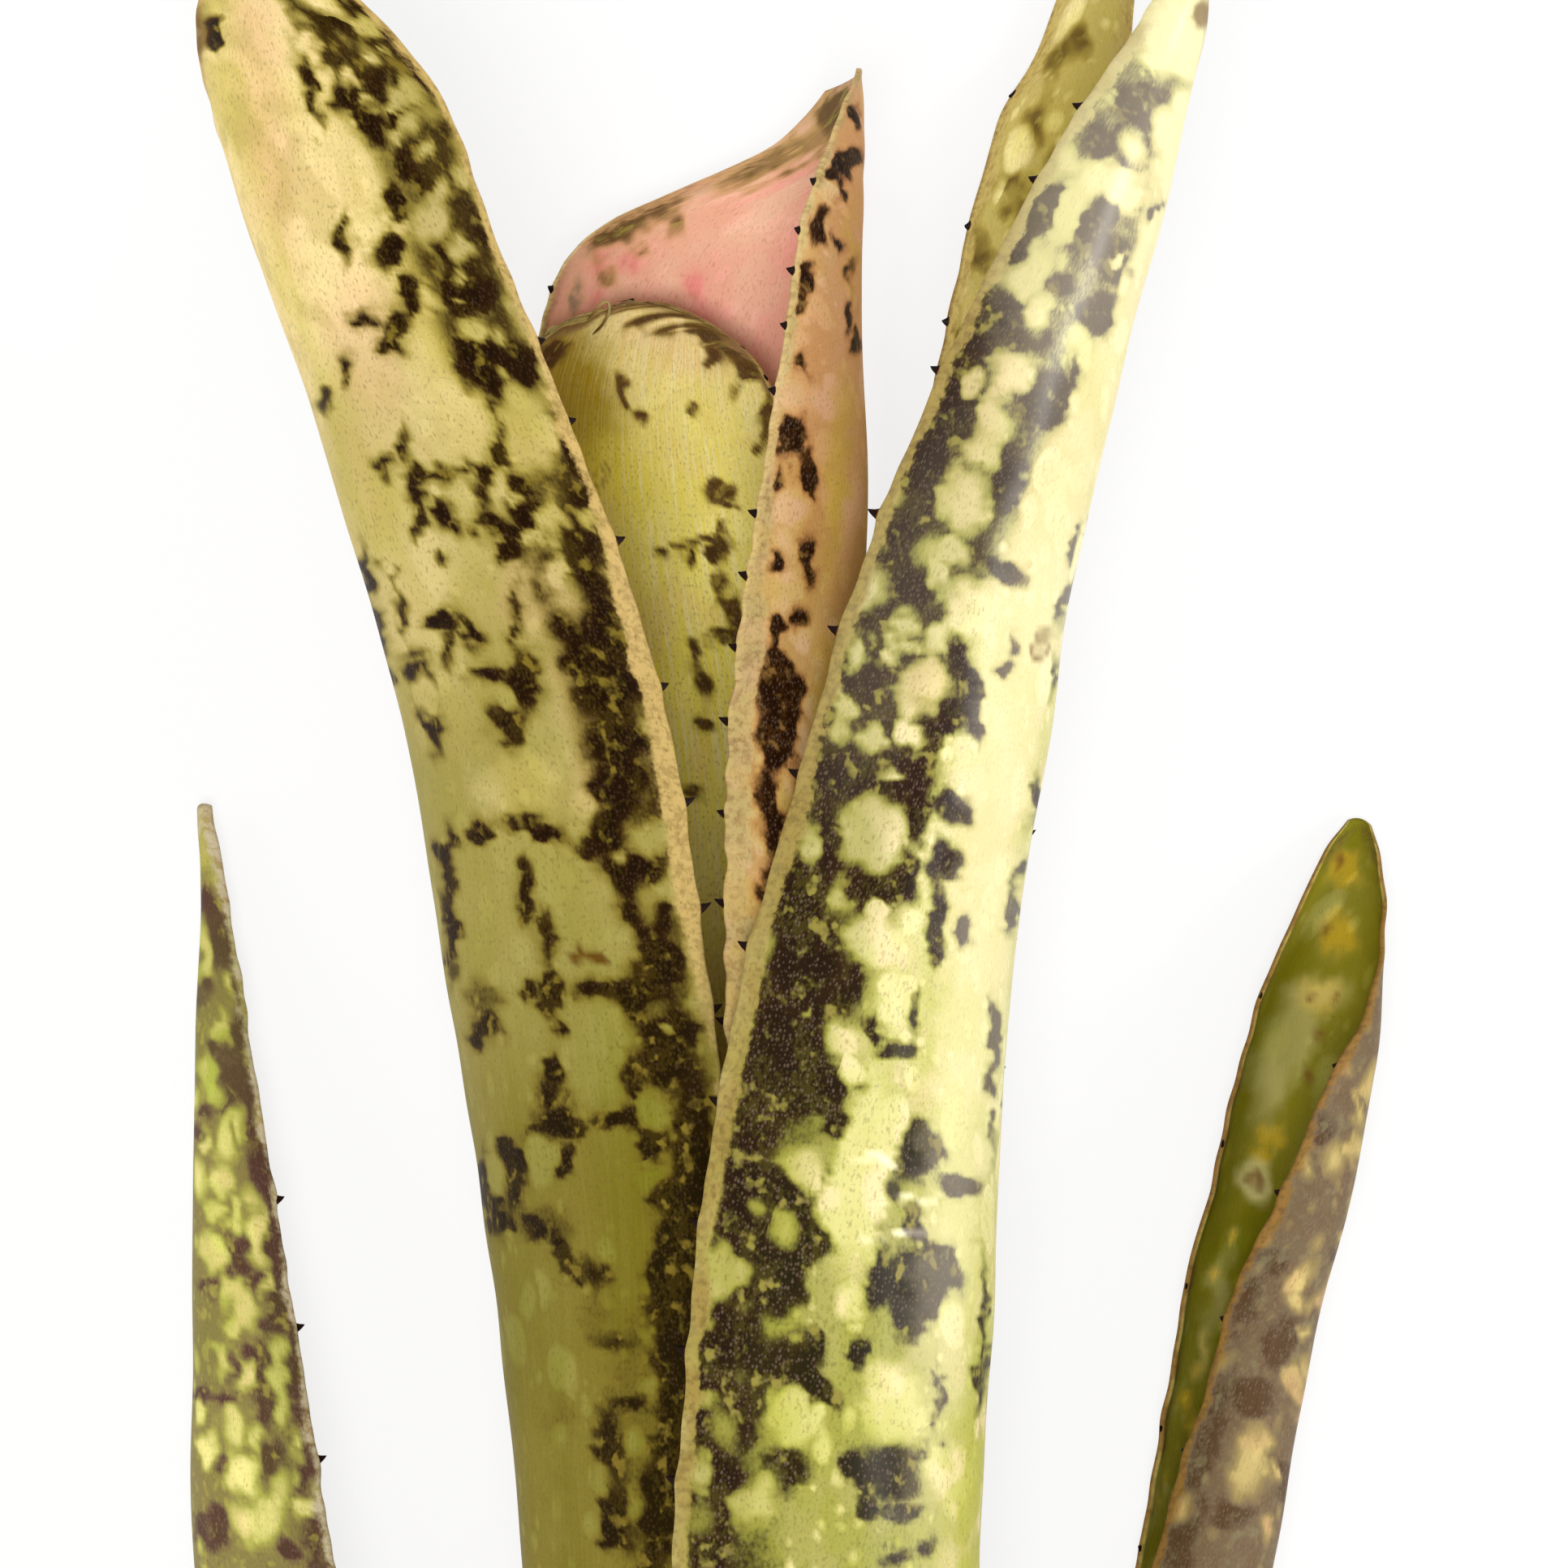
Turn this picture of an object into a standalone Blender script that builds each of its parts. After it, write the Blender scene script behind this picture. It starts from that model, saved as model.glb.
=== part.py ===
"""Billbergia rosette, cut at its short stem and lying on its back.

The rosette's own axis runs along +Y, from the cut stem to the leaf tips.  +X is
its right side and +Z points up, away from the surface it lies on.  Every leaf is
one sheet bent round a rolled surface: at each height along the axis the surface
is a circle with its own centre and radius, and the two leaf margins are given as
an angle round that circle.  Angle 0 is +X, 90 degrees is +Z, 180 is -X.
"""

import math
from dataclasses import dataclass

import bmesh
import bpy
import numpy as np
from mathutils import Vector

MM = 0.001

# Where the rosette's axis lies in the part's frame, from the origin under the
# middle of the part, at the level of the surface that it rests on.
AXIS_X = -0.0050
AXIS_Y = -0.0262
AXIS_HEIGHT = 0.0300

# The common tube of sheaths, in millimetres along the axis.
LOWEST_LEAF_BASE = -150.0
BASE_STEP = 3.5
BULB_TOP = -116.0
TUBE_HEIGHTS = (BULB_TOP, -80.0, -45.0)
TUBE_RADII = (21.2, 24.1, 26.5)
RING_PITCH = 2.0
TUBE_CENTRE_X = 1.0

# The stem tapers upwards through the leaf bases, and each base lies round it.
STEM_CUT_Y = -157.0
STEM_RADIUS = 10.2
STEM_TAPER = 0.21
SEAT_GAP = 0.35
STEM_SIDES = 28

SHEATH_THICKNESS = 1.3
TIP_SHARE = 0.62
MARGIN_SHARE = 0.6
LARGEST_STEP_ANGLE = 14.0
LARGEST_STEP_HEIGHT = 26.0


@dataclass(frozen=True)
class Leaf:
    """One leaf: its ring in the tube, its rolled surface and its two margins."""

    name: str
    colour: tuple
    ring: int
    # (height, centre x, centre z, radius) above the tube, in millimetres
    surface: tuple
    # (angle, height) of the first margin, then of the second, then how far the
    # row between them bulges towards the tip
    rows: tuple


FRONT_RIGHT = Leaf(
    "front_right_leaf",
    (0.62, 0.60, 0.30),
    2,
    (
        (0, 0.8, 0.0, 27.0),
        (24, 2.1, 0.5, 26.9),
        (45, 3.7, 1.4, 26.3),
        (71, 7.1, 3.0, 24.5),
        (98, 13.4, 5.0, 22.3),
        (122, 19.7, 7.5, 19.5),
        (144, 27.7, 10.0, 16.8),
        (162, 35.2, 12.5, 13.8),
        (174, 40.9, 14.5, 11.3),
        (187, 47.7, 16.5, 7.4),
        (198, 53.2, 18.0, 4.2),
    ),
    (
        (-95, -143, 125, -143, 0),
        (-95, BULB_TOP, 125, BULB_TOP, 0),
        (-86, -58, 118, -58, 0),
        (-76, 0, 110.6, 0, 0),
        (-72, 45, 110, 45, 0),
        (-68, 84, 108.5, 84, 1),
        (-62, 121, 108, 122, 2),
        (-56, 143, 108, 145, 2),
        (-48, 160, 107, 162, 2),
        (-38, 172, 106, 175, 2),
        (-20, 182, 101, 186.5, 1.5),
        (15, 190, 96, 193, 1),
        (55, 196.5, 85, 197.5, 0.2),
    ),
)

FRONT_LEFT = Leaf(
    "front_left_leaf",
    (0.55, 0.52, 0.30),
    3,
    (
        (0, -2.0, -0.8, 25.3),
        (29, -4.9, -0.8, 25.3),
        (58, -9.0, -0.9, 25.5),
        (76, -12.4, 0.0, 25.0),
        (98, -16.9, 1.5, 24.0),
        (122, -24.2, 4.0, 22.6),
        (144, -33.0, 6.5, 20.8),
        (161, -40.6, 9.0, 19.0),
        (176, -46.6, 11.5, 17.4),
        (184, -49.6, 12.6, 17.0),
        (193, -52.6, 13.5, 14.8),
        (205, -55.8, 14.5, 11.5),
    ),
    (
        (78, -139.5, 262, -139.5, 0),
        (80, BULB_TOP, 262, BULB_TOP, 0),
        (86, -58, 246, -58, 0),
        (88, 0, 230, 0, 0),
        (84, 29, 223, 29, 0),
        (77.5, 58, 220, 56, 0),
        (70.5, 98, 218, 94, 2),
        (66.2, 122.5, 216, 117, 4),
        (63, 144.5, 212, 140, 5),
        (57, 161, 204, 157, 5),
        (51, 177, 191, 172, 5),
        (60, 185, 179, 180, 5),
        (76, 193, 163, 190, 4),
        (97, 199.5, 144, 198, 2),
    ),
)

PINK_BACK = Leaf(
    "pink_back_leaf",
    (0.66, 0.42, 0.34),
    4,
    (
        (0, -0.6, -0.8, 23.0),
        (30, -1.2, -0.8, 22.7),
        (60, -2.2, -0.8, 22.3),
        (82, -4.5, -0.8, 21.8),
        (107, -7.2, -0.9, 21.5),
        (130, -7.7, -1.0, 21.5),
        (186, -7.7, -1.0, 21.5),
    ),
    (
        (-190, -136, 75, -136, 0),
        (-190, BULB_TOP, 80, BULB_TOP, 0),
        (-180, -58, 92, -58, 0),
        (-172, 0, 95, 0, 0),
        (-168, 34, 93, 34, 0),
        (-165, 66, 90, 62, 0),
        (-162, 96, 82, 90, 0),
        (-158, 122, 73, 113, 0),
        (-153, 141, 65.5, 130, 1),
        (-146, 153, 58.9, 144, 3),
        (-135, 161.5, 53.5, 154, 4),
        (-117, 167, 48.3, 164.6, 3),
        (-88, 172, 38.2, 173.2, 1),
        (-58, 177, 25.5, 180.2, 0.5),
        (-36, 183, 9, 184.6, 0.3),
    ),
)

INNER = Leaf(
    "inner_leaf",
    (0.62, 0.62, 0.22),
    5,
    (
        (0, -0.6, -0.8, 21.0),
        (30, -1.3, -0.7, 20.5),
        (60, -2.6, -0.5, 20.0),
        (100, -5.2, -0.3, 18.8),
        (130, -9.0, 0.4, 17.5),
        (150, -11.0, 1.0, 16.5),
        (158, -11.0, 1.4, 16.5),
    ),
    (
        (-235, -132.5, 20, -132.5, 0),
        (-235, BULB_TOP, 20, BULB_TOP, 0),
        (-228, -58, 12, -58, 0),
        (-222, 0, 5, 0, 0),
        (-217, 50, -4, 50, 1),
        (-212, 95, -14, 95, 3),
        (-204, 124, -24, 124, 5),
        (-192, 140, -28, 136, 6),
        (-174, 147.5, -34, 144.5, 6),
        (-158, 151, -44, 148.8, 5),
        (-146, 152.6, -58, 152, 3.6),
        (-137, 153.6, -74, 154.9, 2),
        (-130, 153.9, -90, 156.6, 0.9),
        (-125, 154.2, -106, 156.8, 0.2),
    ),
)

HEART = Leaf(
    "heart_leaf",
    (0.50, 0.56, 0.20),
    6,
    (
        (0, -0.8, -0.8, 18.7),
        (22, -1.0, -0.8, 17.6),
        (42, -1.4, -0.8, 15.6),
    ),
    (
        (-60, -129, 190, -129, 0),
        (-60, BULB_TOP, 190, BULB_TOP, 0),
        (-52, -58, 180, -58, 0),
        (-46, -14, 172, -14, 1),
        (-32, 8, 160, 8, 4),
        (-10, 22, 140, 22, 5),
        (20, 31, 112, 31, 4),
        (52, 37.5, 82, 37.5, 1),
    ),
)

BACK_RIGHT = Leaf(
    "back_right_leaf",
    (0.55, 0.55, 0.22),
    1,
    (
        (0, 0.0, 0.0, 29.1),
        (30, 2.6, -0.4, 28.9),
        (60, 7.0, -1.5, 27.9),
        (98, 16.0, -5.0, 24.5),
        (125, 25.0, -10.4, 19.0),
        (150, 34.0, -15.4, 14.0),
        (167, 37.5, -17.4, 12.0),
        (178, 39.5, -18.4, 11.0),
        (193, 43.0, -19.9, 9.5),
        (212, 47.5, -21.0, 8.4),
    ),
    (
        (-178, -146.5, 10, -146.5, 0),
        (-175, BULB_TOP, 5, BULB_TOP, 0),
        (-150, -58, -12, -58, 0),
        (-128, 0, -22, 0, 0),
        (-121, 30, -28, 30, 0),
        (-115, 60, -33, 60, 0),
        (-110, 98, -38, 98, 1),
        (-113, 125, -40, 125, 2),
        (-121, 139, -41, 139, 3),
        (-134, 150, -42, 150, 3),
        (-143, 167, -45, 166, 4),
        (-141, 179, -48, 178, 4),
        (-127, 187, -53, 186, 4),
        (-118, 199, -62, 198, 3),
        (-103, 208.5, -80, 208.5, 1),
    ),
)

OUTER_LEFT = Leaf(
    "outer_left_leaf",
    (0.42, 0.40, 0.20),
    0,
    (
        (-133, 0.7, 0.0, 17.5),
        (-116, -2.6, -0.6, 23.2),
        (-103, -10.5, -2.2, 22.8),
        (-90, -19.4, -4.4, 21.8),
        (-60, -37.6, -10.4, 18.8),
        (-30, -48.6, -16.6, 16.2),
        (0, -55.4, -21.1, 13.8),
        (25, -59.4, -24.0, 10.1),
        (50, -62.8, -26.0, 6.7),
        (75, -65.6, -27.5, 3.7),
        (90, -67.4, -28.3, 1.7),
        (96, -68.0, -28.5, 1.1),
    ),
    (
        (108, -150, 252, -150, 0),
        (108, -133, 252, -133, 0),
        (107, -112, 250, -112, 0),
        (101, -90, 245, -90, 0),
        (87, -60, 234, -60, 0),
        (77, -30, 224, -30, 0),
        (75, 0, 216, 0, 0),
        (72, 25, 215, 25, 1),
        (71, 50, 215, 49, 1),
        (74, 75, 215, 73, 1),
        (84, 88, 205, 87, 0.6),
        (100, 94, 175, 93.5, 0.3),
    ),
)

OUTER_RIGHT = Leaf(
    "outer_right_leaf",
    (0.40, 0.36, 0.22),
    0,
    (
        (-133, 1.3, 0.0, 17.5),
        (-116, 4.6, -0.6, 23.2),
        (-103, 12.0, -2.4, 21.8),
        (-90, 20.0, -5.0, 19.6),
        (-60, 35.4, -11.5, 15.0),
        (-30, 48.4, -17.6, 11.4),
        (3, 57.3, -20.8, 8.6),
        (19, 60.4, -21.1, 8.3),
        (33, 63.2, -21.0, 8.4),
        (47, 67.0, -20.9, 8.5),
        (61, 69.9, -21.1, 8.2),
        (71, 72.0, -22.2, 7.2),
        (80, 74.2, -23.9, 5.3),
        (88, 76.0, -25.6, 3.4),
        (95, 77.4, -27.0, 1.8),
    ),
    (
        (-78, -150, 78, -150, 0),
        (-78, -133, 76, -133, 0),
        (-78, -112, 71, -112, 0),
        (-84, -90, 68, -90, 0),
        (-97, -60, 88, -60, 0),
        (-122, -30, 108, -30, 0),
        (-150, 3, 130, 3, 0),
        (-160, 19, 117, 19, 0),
        (-166, 33, 108, 33, 0),
        (-170, 47, 90, 47, 0),
        (-173, 61, 70, 60, 1),
        (-175, 71, 38, 69, 2),
        (-172, 80, 14, 77, 2),
        (-155, 87.5, -12, 85.5, 1.5),
        (-118, 92, -58, 91.5, 0.5),
    ),
)

LEAVES = (
    OUTER_LEFT,
    OUTER_RIGHT,
    BACK_RIGHT,
    FRONT_RIGHT,
    FRONT_LEFT,
    PINK_BACK,
    INNER,
    HEART,
)
STEM_COLOUR = (0.72, 0.66, 0.45)


def smooth(knots, values, at):
    """A smooth curve through the knots that never swings past its values."""
    knots, values, at = (np.asarray(list(a), float) for a in (knots, values, at))
    step = np.diff(knots)
    rise = np.diff(values) / step
    slope = np.zeros(len(knots))
    slope[0], slope[-1] = rise[0], rise[-1]
    for i in range(1, len(knots) - 1):
        if rise[i - 1] * rise[i] > 0:
            before = 2 * step[i] + step[i - 1]
            after = step[i] + 2 * step[i - 1]
            slope[i] = (before + after) / (before / rise[i - 1] + after / rise[i])
    i = np.clip(np.searchsorted(knots, at) - 1, 0, len(step) - 1)
    t = np.clip((at - knots[i]) / step[i], 0, 1)
    start = (1 + 2 * t) * (1 - t) ** 2 * values[i] + t * (1 - t) ** 2 * step[i] * slope[i]
    end = t * t * (3 - 2 * t) * values[i + 1] + t * t * (t - 1) * step[i] * slope[i + 1]
    return start + end


def leaf_base(ring):
    """Height of a leaf's foot on the stem, and the radius of the sheet there."""
    height = LOWEST_LEAF_BASE + BASE_STEP * ring
    stem = STEM_RADIUS - STEM_TAPER * (height - LOWEST_LEAF_BASE)
    return height, stem + SEAT_GAP + SHEATH_THICKNESS / 2


def full_surface(leaf):
    """Stations of the leaf's rolled surface: foot, tube of sheaths, then blade."""
    foot, foot_radius = leaf_base(leaf.ring)
    stations = [(foot, TUBE_CENTRE_X, 0.0, foot_radius)]
    for height, radius in zip(TUBE_HEIGHTS, TUBE_RADII):
        if height < leaf.surface[0][0]:
            ring_radius = radius - RING_PITCH * (leaf.ring - 1)
            stations.append((height, TUBE_CENTRE_X, 0.0, ring_radius))
    return stations + list(leaf.surface)


def row_places(rows):
    """Row positions along the leaf, with more of them where rows lie far apart."""
    places = []
    for i in range(len(rows) - 1):
        apart = max(abs(rows[i + 1][1] - rows[i][1]), abs(rows[i + 1][3] - rows[i][3]))
        count = max(1, math.ceil(apart / LARGEST_STEP_HEIGHT))
        places += [i + k / count for k in range(count)]
    return places + [len(rows) - 1]


def leaf_grid(leaf):
    """Points of the leaf's middle sheet, as rows across it from foot to tip."""
    stations = np.array(full_surface(leaf))
    rows = np.array(leaf.rows, float)
    places = row_places(leaf.rows)
    index = range(len(rows))
    a1, y1, a2, y2, bulge = (smooth(index, rows[:, k], places)[:, None] for k in range(5))
    widest = np.abs(rows[:, 2] - rows[:, 0]).max()
    across = np.linspace(0, 1, math.ceil(widest / LARGEST_STEP_ANGLE) + 1)[None, :]
    angle = np.radians(a1 + (a2 - a1) * across)
    height = y1 + (y2 - y1) * across + bulge * 4 * across * (1 - across)
    x, z, radius = (smooth(stations[:, 0], stations[:, k], height.ravel()) for k in (1, 2, 3))
    x, z, radius = (a.reshape(height.shape) for a in (x, z, radius))
    return np.stack([x + radius * np.cos(angle), height, z + radius * np.sin(angle)], -1) * MM


def plain_material(name, colour, roughness):
    material = bpy.data.materials.new(name)
    material.use_nodes = True
    surface = material.node_tree.nodes["Principled BSDF"]
    surface.inputs["Base Color"].default_value = (*colour, 1)
    surface.inputs["Roughness"].default_value = roughness
    surface.inputs["Metallic"].default_value = 0.0
    return material


def add_object(name, mesh, material, axis):
    obj = bpy.data.objects.new(name, mesh)
    mesh.materials.append(material)
    mesh.shade_smooth()
    obj.parent = axis
    bpy.context.scene.collection.objects.link(obj)
    return obj


def build_leaf(leaf, axis):
    """The leaf's sheet as a mesh, given its thickness by a Solidify modifier."""
    grid = leaf_grid(leaf)
    row_count, column_count = grid.shape[:2]
    shape = bmesh.new()
    points = [[shape.verts.new(Vector(p)) for p in row] for row in grid]
    for lower, upper in zip(points, points[1:]):
        for c in range(column_count - 1):
            shape.faces.new((lower[c], lower[c + 1], upper[c + 1], upper[c]))
    mesh = bpy.data.meshes.new(leaf.name)
    shape.to_mesh(mesh)
    shape.free()
    obj = add_object(leaf.name, mesh, plain_material(leaf.name, leaf.colour, 0.45), axis)
    group = obj.vertex_groups.new(name="thickness")
    for r in range(row_count):
        taper = 1 - (1 - TIP_SHARE) * r / (row_count - 1)
        for c in range(column_count):
            at_margin = c in (0, column_count - 1)
            share = taper * (MARGIN_SHARE if at_margin else 1)
            group.add([r * column_count + c], share, "REPLACE")
    solidify = obj.modifiers.new("thickness", "SOLIDIFY")
    solidify.thickness = SHEATH_THICKNESS * MM
    solidify.offset = 0.0
    solidify.vertex_group = group.name
    return obj


def build_stem(axis):
    """The short stem: a spun profile from its cut face up to a rounded growing point."""
    top = leaf_base(HEART.ring)[0]
    top_radius = STEM_RADIUS - STEM_TAPER * (top - LOWEST_LEAF_BASE)
    profile = [
        (0.0, STEM_CUT_Y + 0.6),
        (STEM_RADIUS - 2.2, STEM_CUT_Y + 0.4),
        (STEM_RADIUS - 0.4, STEM_CUT_Y),
        (STEM_RADIUS + 0.3, STEM_CUT_Y + 1.2),
        (STEM_RADIUS, LOWEST_LEAF_BASE),
        (top_radius, top),
        (top_radius * 0.8, top + 4.0),
        (top_radius * 0.42, top + 7.0),
        (0.0, top + 8.2),
    ]
    shape = bmesh.new()
    points = [shape.verts.new(Vector((r * MM, y * MM, 0))) for r, y in profile]
    edges = [shape.edges.new(pair) for pair in zip(points, points[1:])]
    bmesh.ops.spin(
        shape,
        geom=points + edges,
        cent=(0, 0, 0),
        axis=(0, 1, 0),
        angle=math.tau,
        steps=STEM_SIDES,
        use_merge=True,
    )
    bmesh.ops.remove_doubles(shape, verts=shape.verts, dist=1e-6)
    bmesh.ops.recalc_face_normals(shape, faces=shape.faces)
    mesh = bpy.data.meshes.new("stem_stub")
    shape.to_mesh(mesh)
    shape.free()
    obj = add_object("stem_stub", mesh, plain_material("stem_stub", STEM_COLOUR, 0.7), axis)
    obj.location.x = TUBE_CENTRE_X * MM
    return obj


def main():
    for obj in list(bpy.data.objects):
        bpy.data.objects.remove(obj, do_unlink=True)
    axis = bpy.data.objects.new("rosette_axis", None)
    axis.location = (AXIS_X, AXIS_Y, AXIS_HEIGHT)
    bpy.context.scene.collection.objects.link(axis)
    build_stem(axis)
    for leaf in LEAVES:
        build_leaf(leaf, axis)


main()
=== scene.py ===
"""Visual model of a cut billbergia rosette lying on its back.

The rosette's axis runs along +Y, from the cut stem to the leaf tips, and +Z
points away from the surface that it lies on.  Each leaf is one rolled sheet with
a rounded, toothed margin, dressed with a mottled skin on its outer and inner
face.  Lengths in the tables are millimetres from the rosette's axis.
"""

import logging
import math
from collections.abc import Sequence
from dataclasses import dataclass, field
from enum import Enum

import bpy
import numpy as np
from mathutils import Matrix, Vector, kdtree

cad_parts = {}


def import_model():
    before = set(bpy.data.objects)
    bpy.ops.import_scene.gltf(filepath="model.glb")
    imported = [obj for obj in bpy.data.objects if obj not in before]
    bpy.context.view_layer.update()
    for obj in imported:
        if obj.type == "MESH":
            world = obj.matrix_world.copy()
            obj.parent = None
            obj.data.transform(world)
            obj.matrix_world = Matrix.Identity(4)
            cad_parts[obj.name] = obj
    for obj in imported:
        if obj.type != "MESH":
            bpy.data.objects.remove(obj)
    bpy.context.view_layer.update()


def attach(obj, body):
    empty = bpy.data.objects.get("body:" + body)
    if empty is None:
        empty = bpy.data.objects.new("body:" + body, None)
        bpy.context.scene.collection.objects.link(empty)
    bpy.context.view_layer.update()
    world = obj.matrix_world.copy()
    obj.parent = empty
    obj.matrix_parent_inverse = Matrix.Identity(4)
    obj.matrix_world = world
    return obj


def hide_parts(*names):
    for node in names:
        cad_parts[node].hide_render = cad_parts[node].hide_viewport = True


MM = 0.001
AXIS = np.array((-5.0, -26.2, 30.0))

# The common tube of sheaths, and the stem that the leaf bases lie round.
LOWEST_LEAF_BASE = -150.0
BASE_STEP = 3.5
BULB_TOP = -116.0
TUBE_HEIGHTS = (BULB_TOP, -80.0, -45.0)
TUBE_RADII = (21.2, 24.1, 26.5)
RING_PITCH = 2.0
TUBE_CENTRE_X = 1.0
STEM_CUT_Y = -157.0
STEM_RADIUS = 10.2
STEM_TAPER = 0.21
SEAT_GAP = 0.35

# A leaf's thickness, and how much of it is left at the tip and at the margin.
SHEET_THICKNESS = 1.3
TIP_SHARE = 0.62
MARGIN_SHARE = 0.55

# Where the camera stands over the rosette, from its axis.
VIEW_CENTRE = (4.3, 96.6)
VIEW_DISTANCE = 1200.0
VIEW_WIDTH = 193.2

# The surface under the rosette, and how far leaves and teeth keep clear of it.
FLOOR_DEPTH = -30.0
LEAF_CLEARANCE = 0.02
TOOTH_CLEARANCE = 0.5

Colour = tuple[float, float, float, float]
Rows = tuple[tuple[float, ...], ...]
log = logging.getLogger("billbergia")


def tint(*shades: float) -> Colour:
    """Turn red, green and blue as they look, 0 to 255, into a linear shader colour."""
    shares = [shade / 255 for shade in shades]
    return (*(s / 12.92 if s <= 0.04045 else ((s + 0.055) / 1.055) ** 2.4 for s in shares), 1.0)


def ease(start: float, end: float, value: np.ndarray) -> np.ndarray:
    """Rise smoothly from 0 at start to 1 at end."""
    share = np.clip((value - start) / (end - start), 0, 1)
    return share * share * (3 - 2 * share)


def smooth(knots: Sequence[float], values: np.ndarray, at: np.ndarray) -> np.ndarray:
    """Follow a smooth curve through the knots that never swings past its values.

    Args:
        knots: Rising positions of the knots.
        values: The value at each knot.
        at: Positions to read the curve at.

    Returns:
        The curve's value at each position.
    """
    places = np.asarray(knots, float)
    heights = np.asarray(values, float)
    step = np.diff(places)
    rise = np.diff(heights) / step
    slope = np.zeros(len(places))
    slope[0], slope[-1] = rise[0], rise[-1]
    for i in range(1, len(places) - 1):
        if rise[i - 1] * rise[i] > 0:
            before = 2 * step[i] + step[i - 1]
            after = step[i] + 2 * step[i - 1]
            slope[i] = (before + after) / (before / rise[i - 1] + after / rise[i])
    i = np.clip(np.searchsorted(places, at) - 1, 0, len(step) - 1)
    t = np.clip((at - places[i]) / step[i], 0, 1)
    start = (1 + 2 * t) * (1 - t) ** 2 * heights[i] + t * (1 - t) ** 2 * step[i] * slope[i]
    end = t * t * (3 - 2 * t) * heights[i + 1] + t * t * (t - 1) * step[i] * slope[i + 1]
    return start + end


def ripple(points: np.ndarray, size: float, seed: int) -> np.ndarray:
    """Give a soft random wave over the points.

    Args:
        points: Places in millimetres, two or three numbers each.
        size: Rough length of one wave in millimetres.
        seed: Picks the pattern.

    Returns:
        Values that mostly lie between -1 and 1, one for each point.
    """
    chance = np.random.default_rng(seed)
    flat = points.reshape(-1, points.shape[-1])
    total = np.zeros(len(flat))
    for octave in range(7):
        heading = chance.normal(size=flat.shape[-1])
        heading /= np.linalg.norm(heading)
        length = size * (0.6 + 0.9 * chance.random())
        total += np.sin(flat @ heading * (math.tau / length) + chance.random() * math.tau)
    return (total / 2.6).reshape(points.shape[:-1])


def ring_faces(rings: int, sides: int) -> list[tuple[int, ...]]:
    """List the four-sided faces between neighbouring rings of points.

    Args:
        rings: How many rings there are.
        sides: How many points each ring has.

    Returns:
        The faces, ring after ring.
    """
    faces = []
    for low in range(0, (rings - 1) * sides, sides):
        high = low + sides
        for i in range(sides):
            after = (i + 1) % sides
            faces.append((low + i, low + after, high + after, high + i))
    return faces


class Wire:
    """One shader socket that takes part in ordinary arithmetic."""

    def __init__(self, recipe: "Recipe", socket: bpy.types.NodeSocket) -> None:
        """Keep the socket and the recipe that it belongs to."""
        self.recipe = recipe
        self.socket = socket

    def other(self, output: str | int) -> "Wire":
        """Give another output of the same node."""
        return Wire(self.recipe, self.socket.node.outputs[output])

    def _math(self, operation: str, *values: "Wire | float") -> "Wire":
        """Add a Math node with these values in order."""
        sockets = dict(enumerate(values))
        return self.recipe.add("ShaderNodeMath", {"operation": operation}, sockets)

    def __add__(self, other: "Wire | float") -> "Wire":
        """Add."""
        return self._math("ADD", self, other)

    def __radd__(self, other: float) -> "Wire":
        """Add to a number."""
        return self._math("ADD", other, self)

    def __sub__(self, other: "Wire | float") -> "Wire":
        """Subtract."""
        return self._math("SUBTRACT", self, other)

    def __rsub__(self, other: float) -> "Wire":
        """Subtract from a number."""
        return self._math("SUBTRACT", other, self)

    def __mul__(self, other: "Wire | float") -> "Wire":
        """Multiply."""
        return self._math("MULTIPLY", self, other)

    def __rmul__(self, other: float) -> "Wire":
        """Multiply a number."""
        return self._math("MULTIPLY", other, self)

    def least(self, other: "Wire | float") -> "Wire":
        """Take the smaller of two values."""
        return self._math("MINIMUM", self, other)

    def most(self, other: "Wire | float") -> "Wire":
        """Take the larger of two values."""
        return self._math("MAXIMUM", self, other)

    def rise(self, start: float, end: float) -> "Wire":
        """Go smoothly from 0 to 1, or fall back where end is below start.

        Args:
            start: The value that gives 0.
            end: The value that gives 1.

        Returns:
            The share.
        """
        lower, upper = (start, end) if start < end else (end, start)
        settings = {"interpolation_type": "SMOOTHSTEP"}
        sockets = {"Value": self, "From Min": lower, "From Max": upper}
        risen = self.recipe.add("ShaderNodeMapRange", settings, sockets)
        return risen if start < end else 1 - risen


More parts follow.
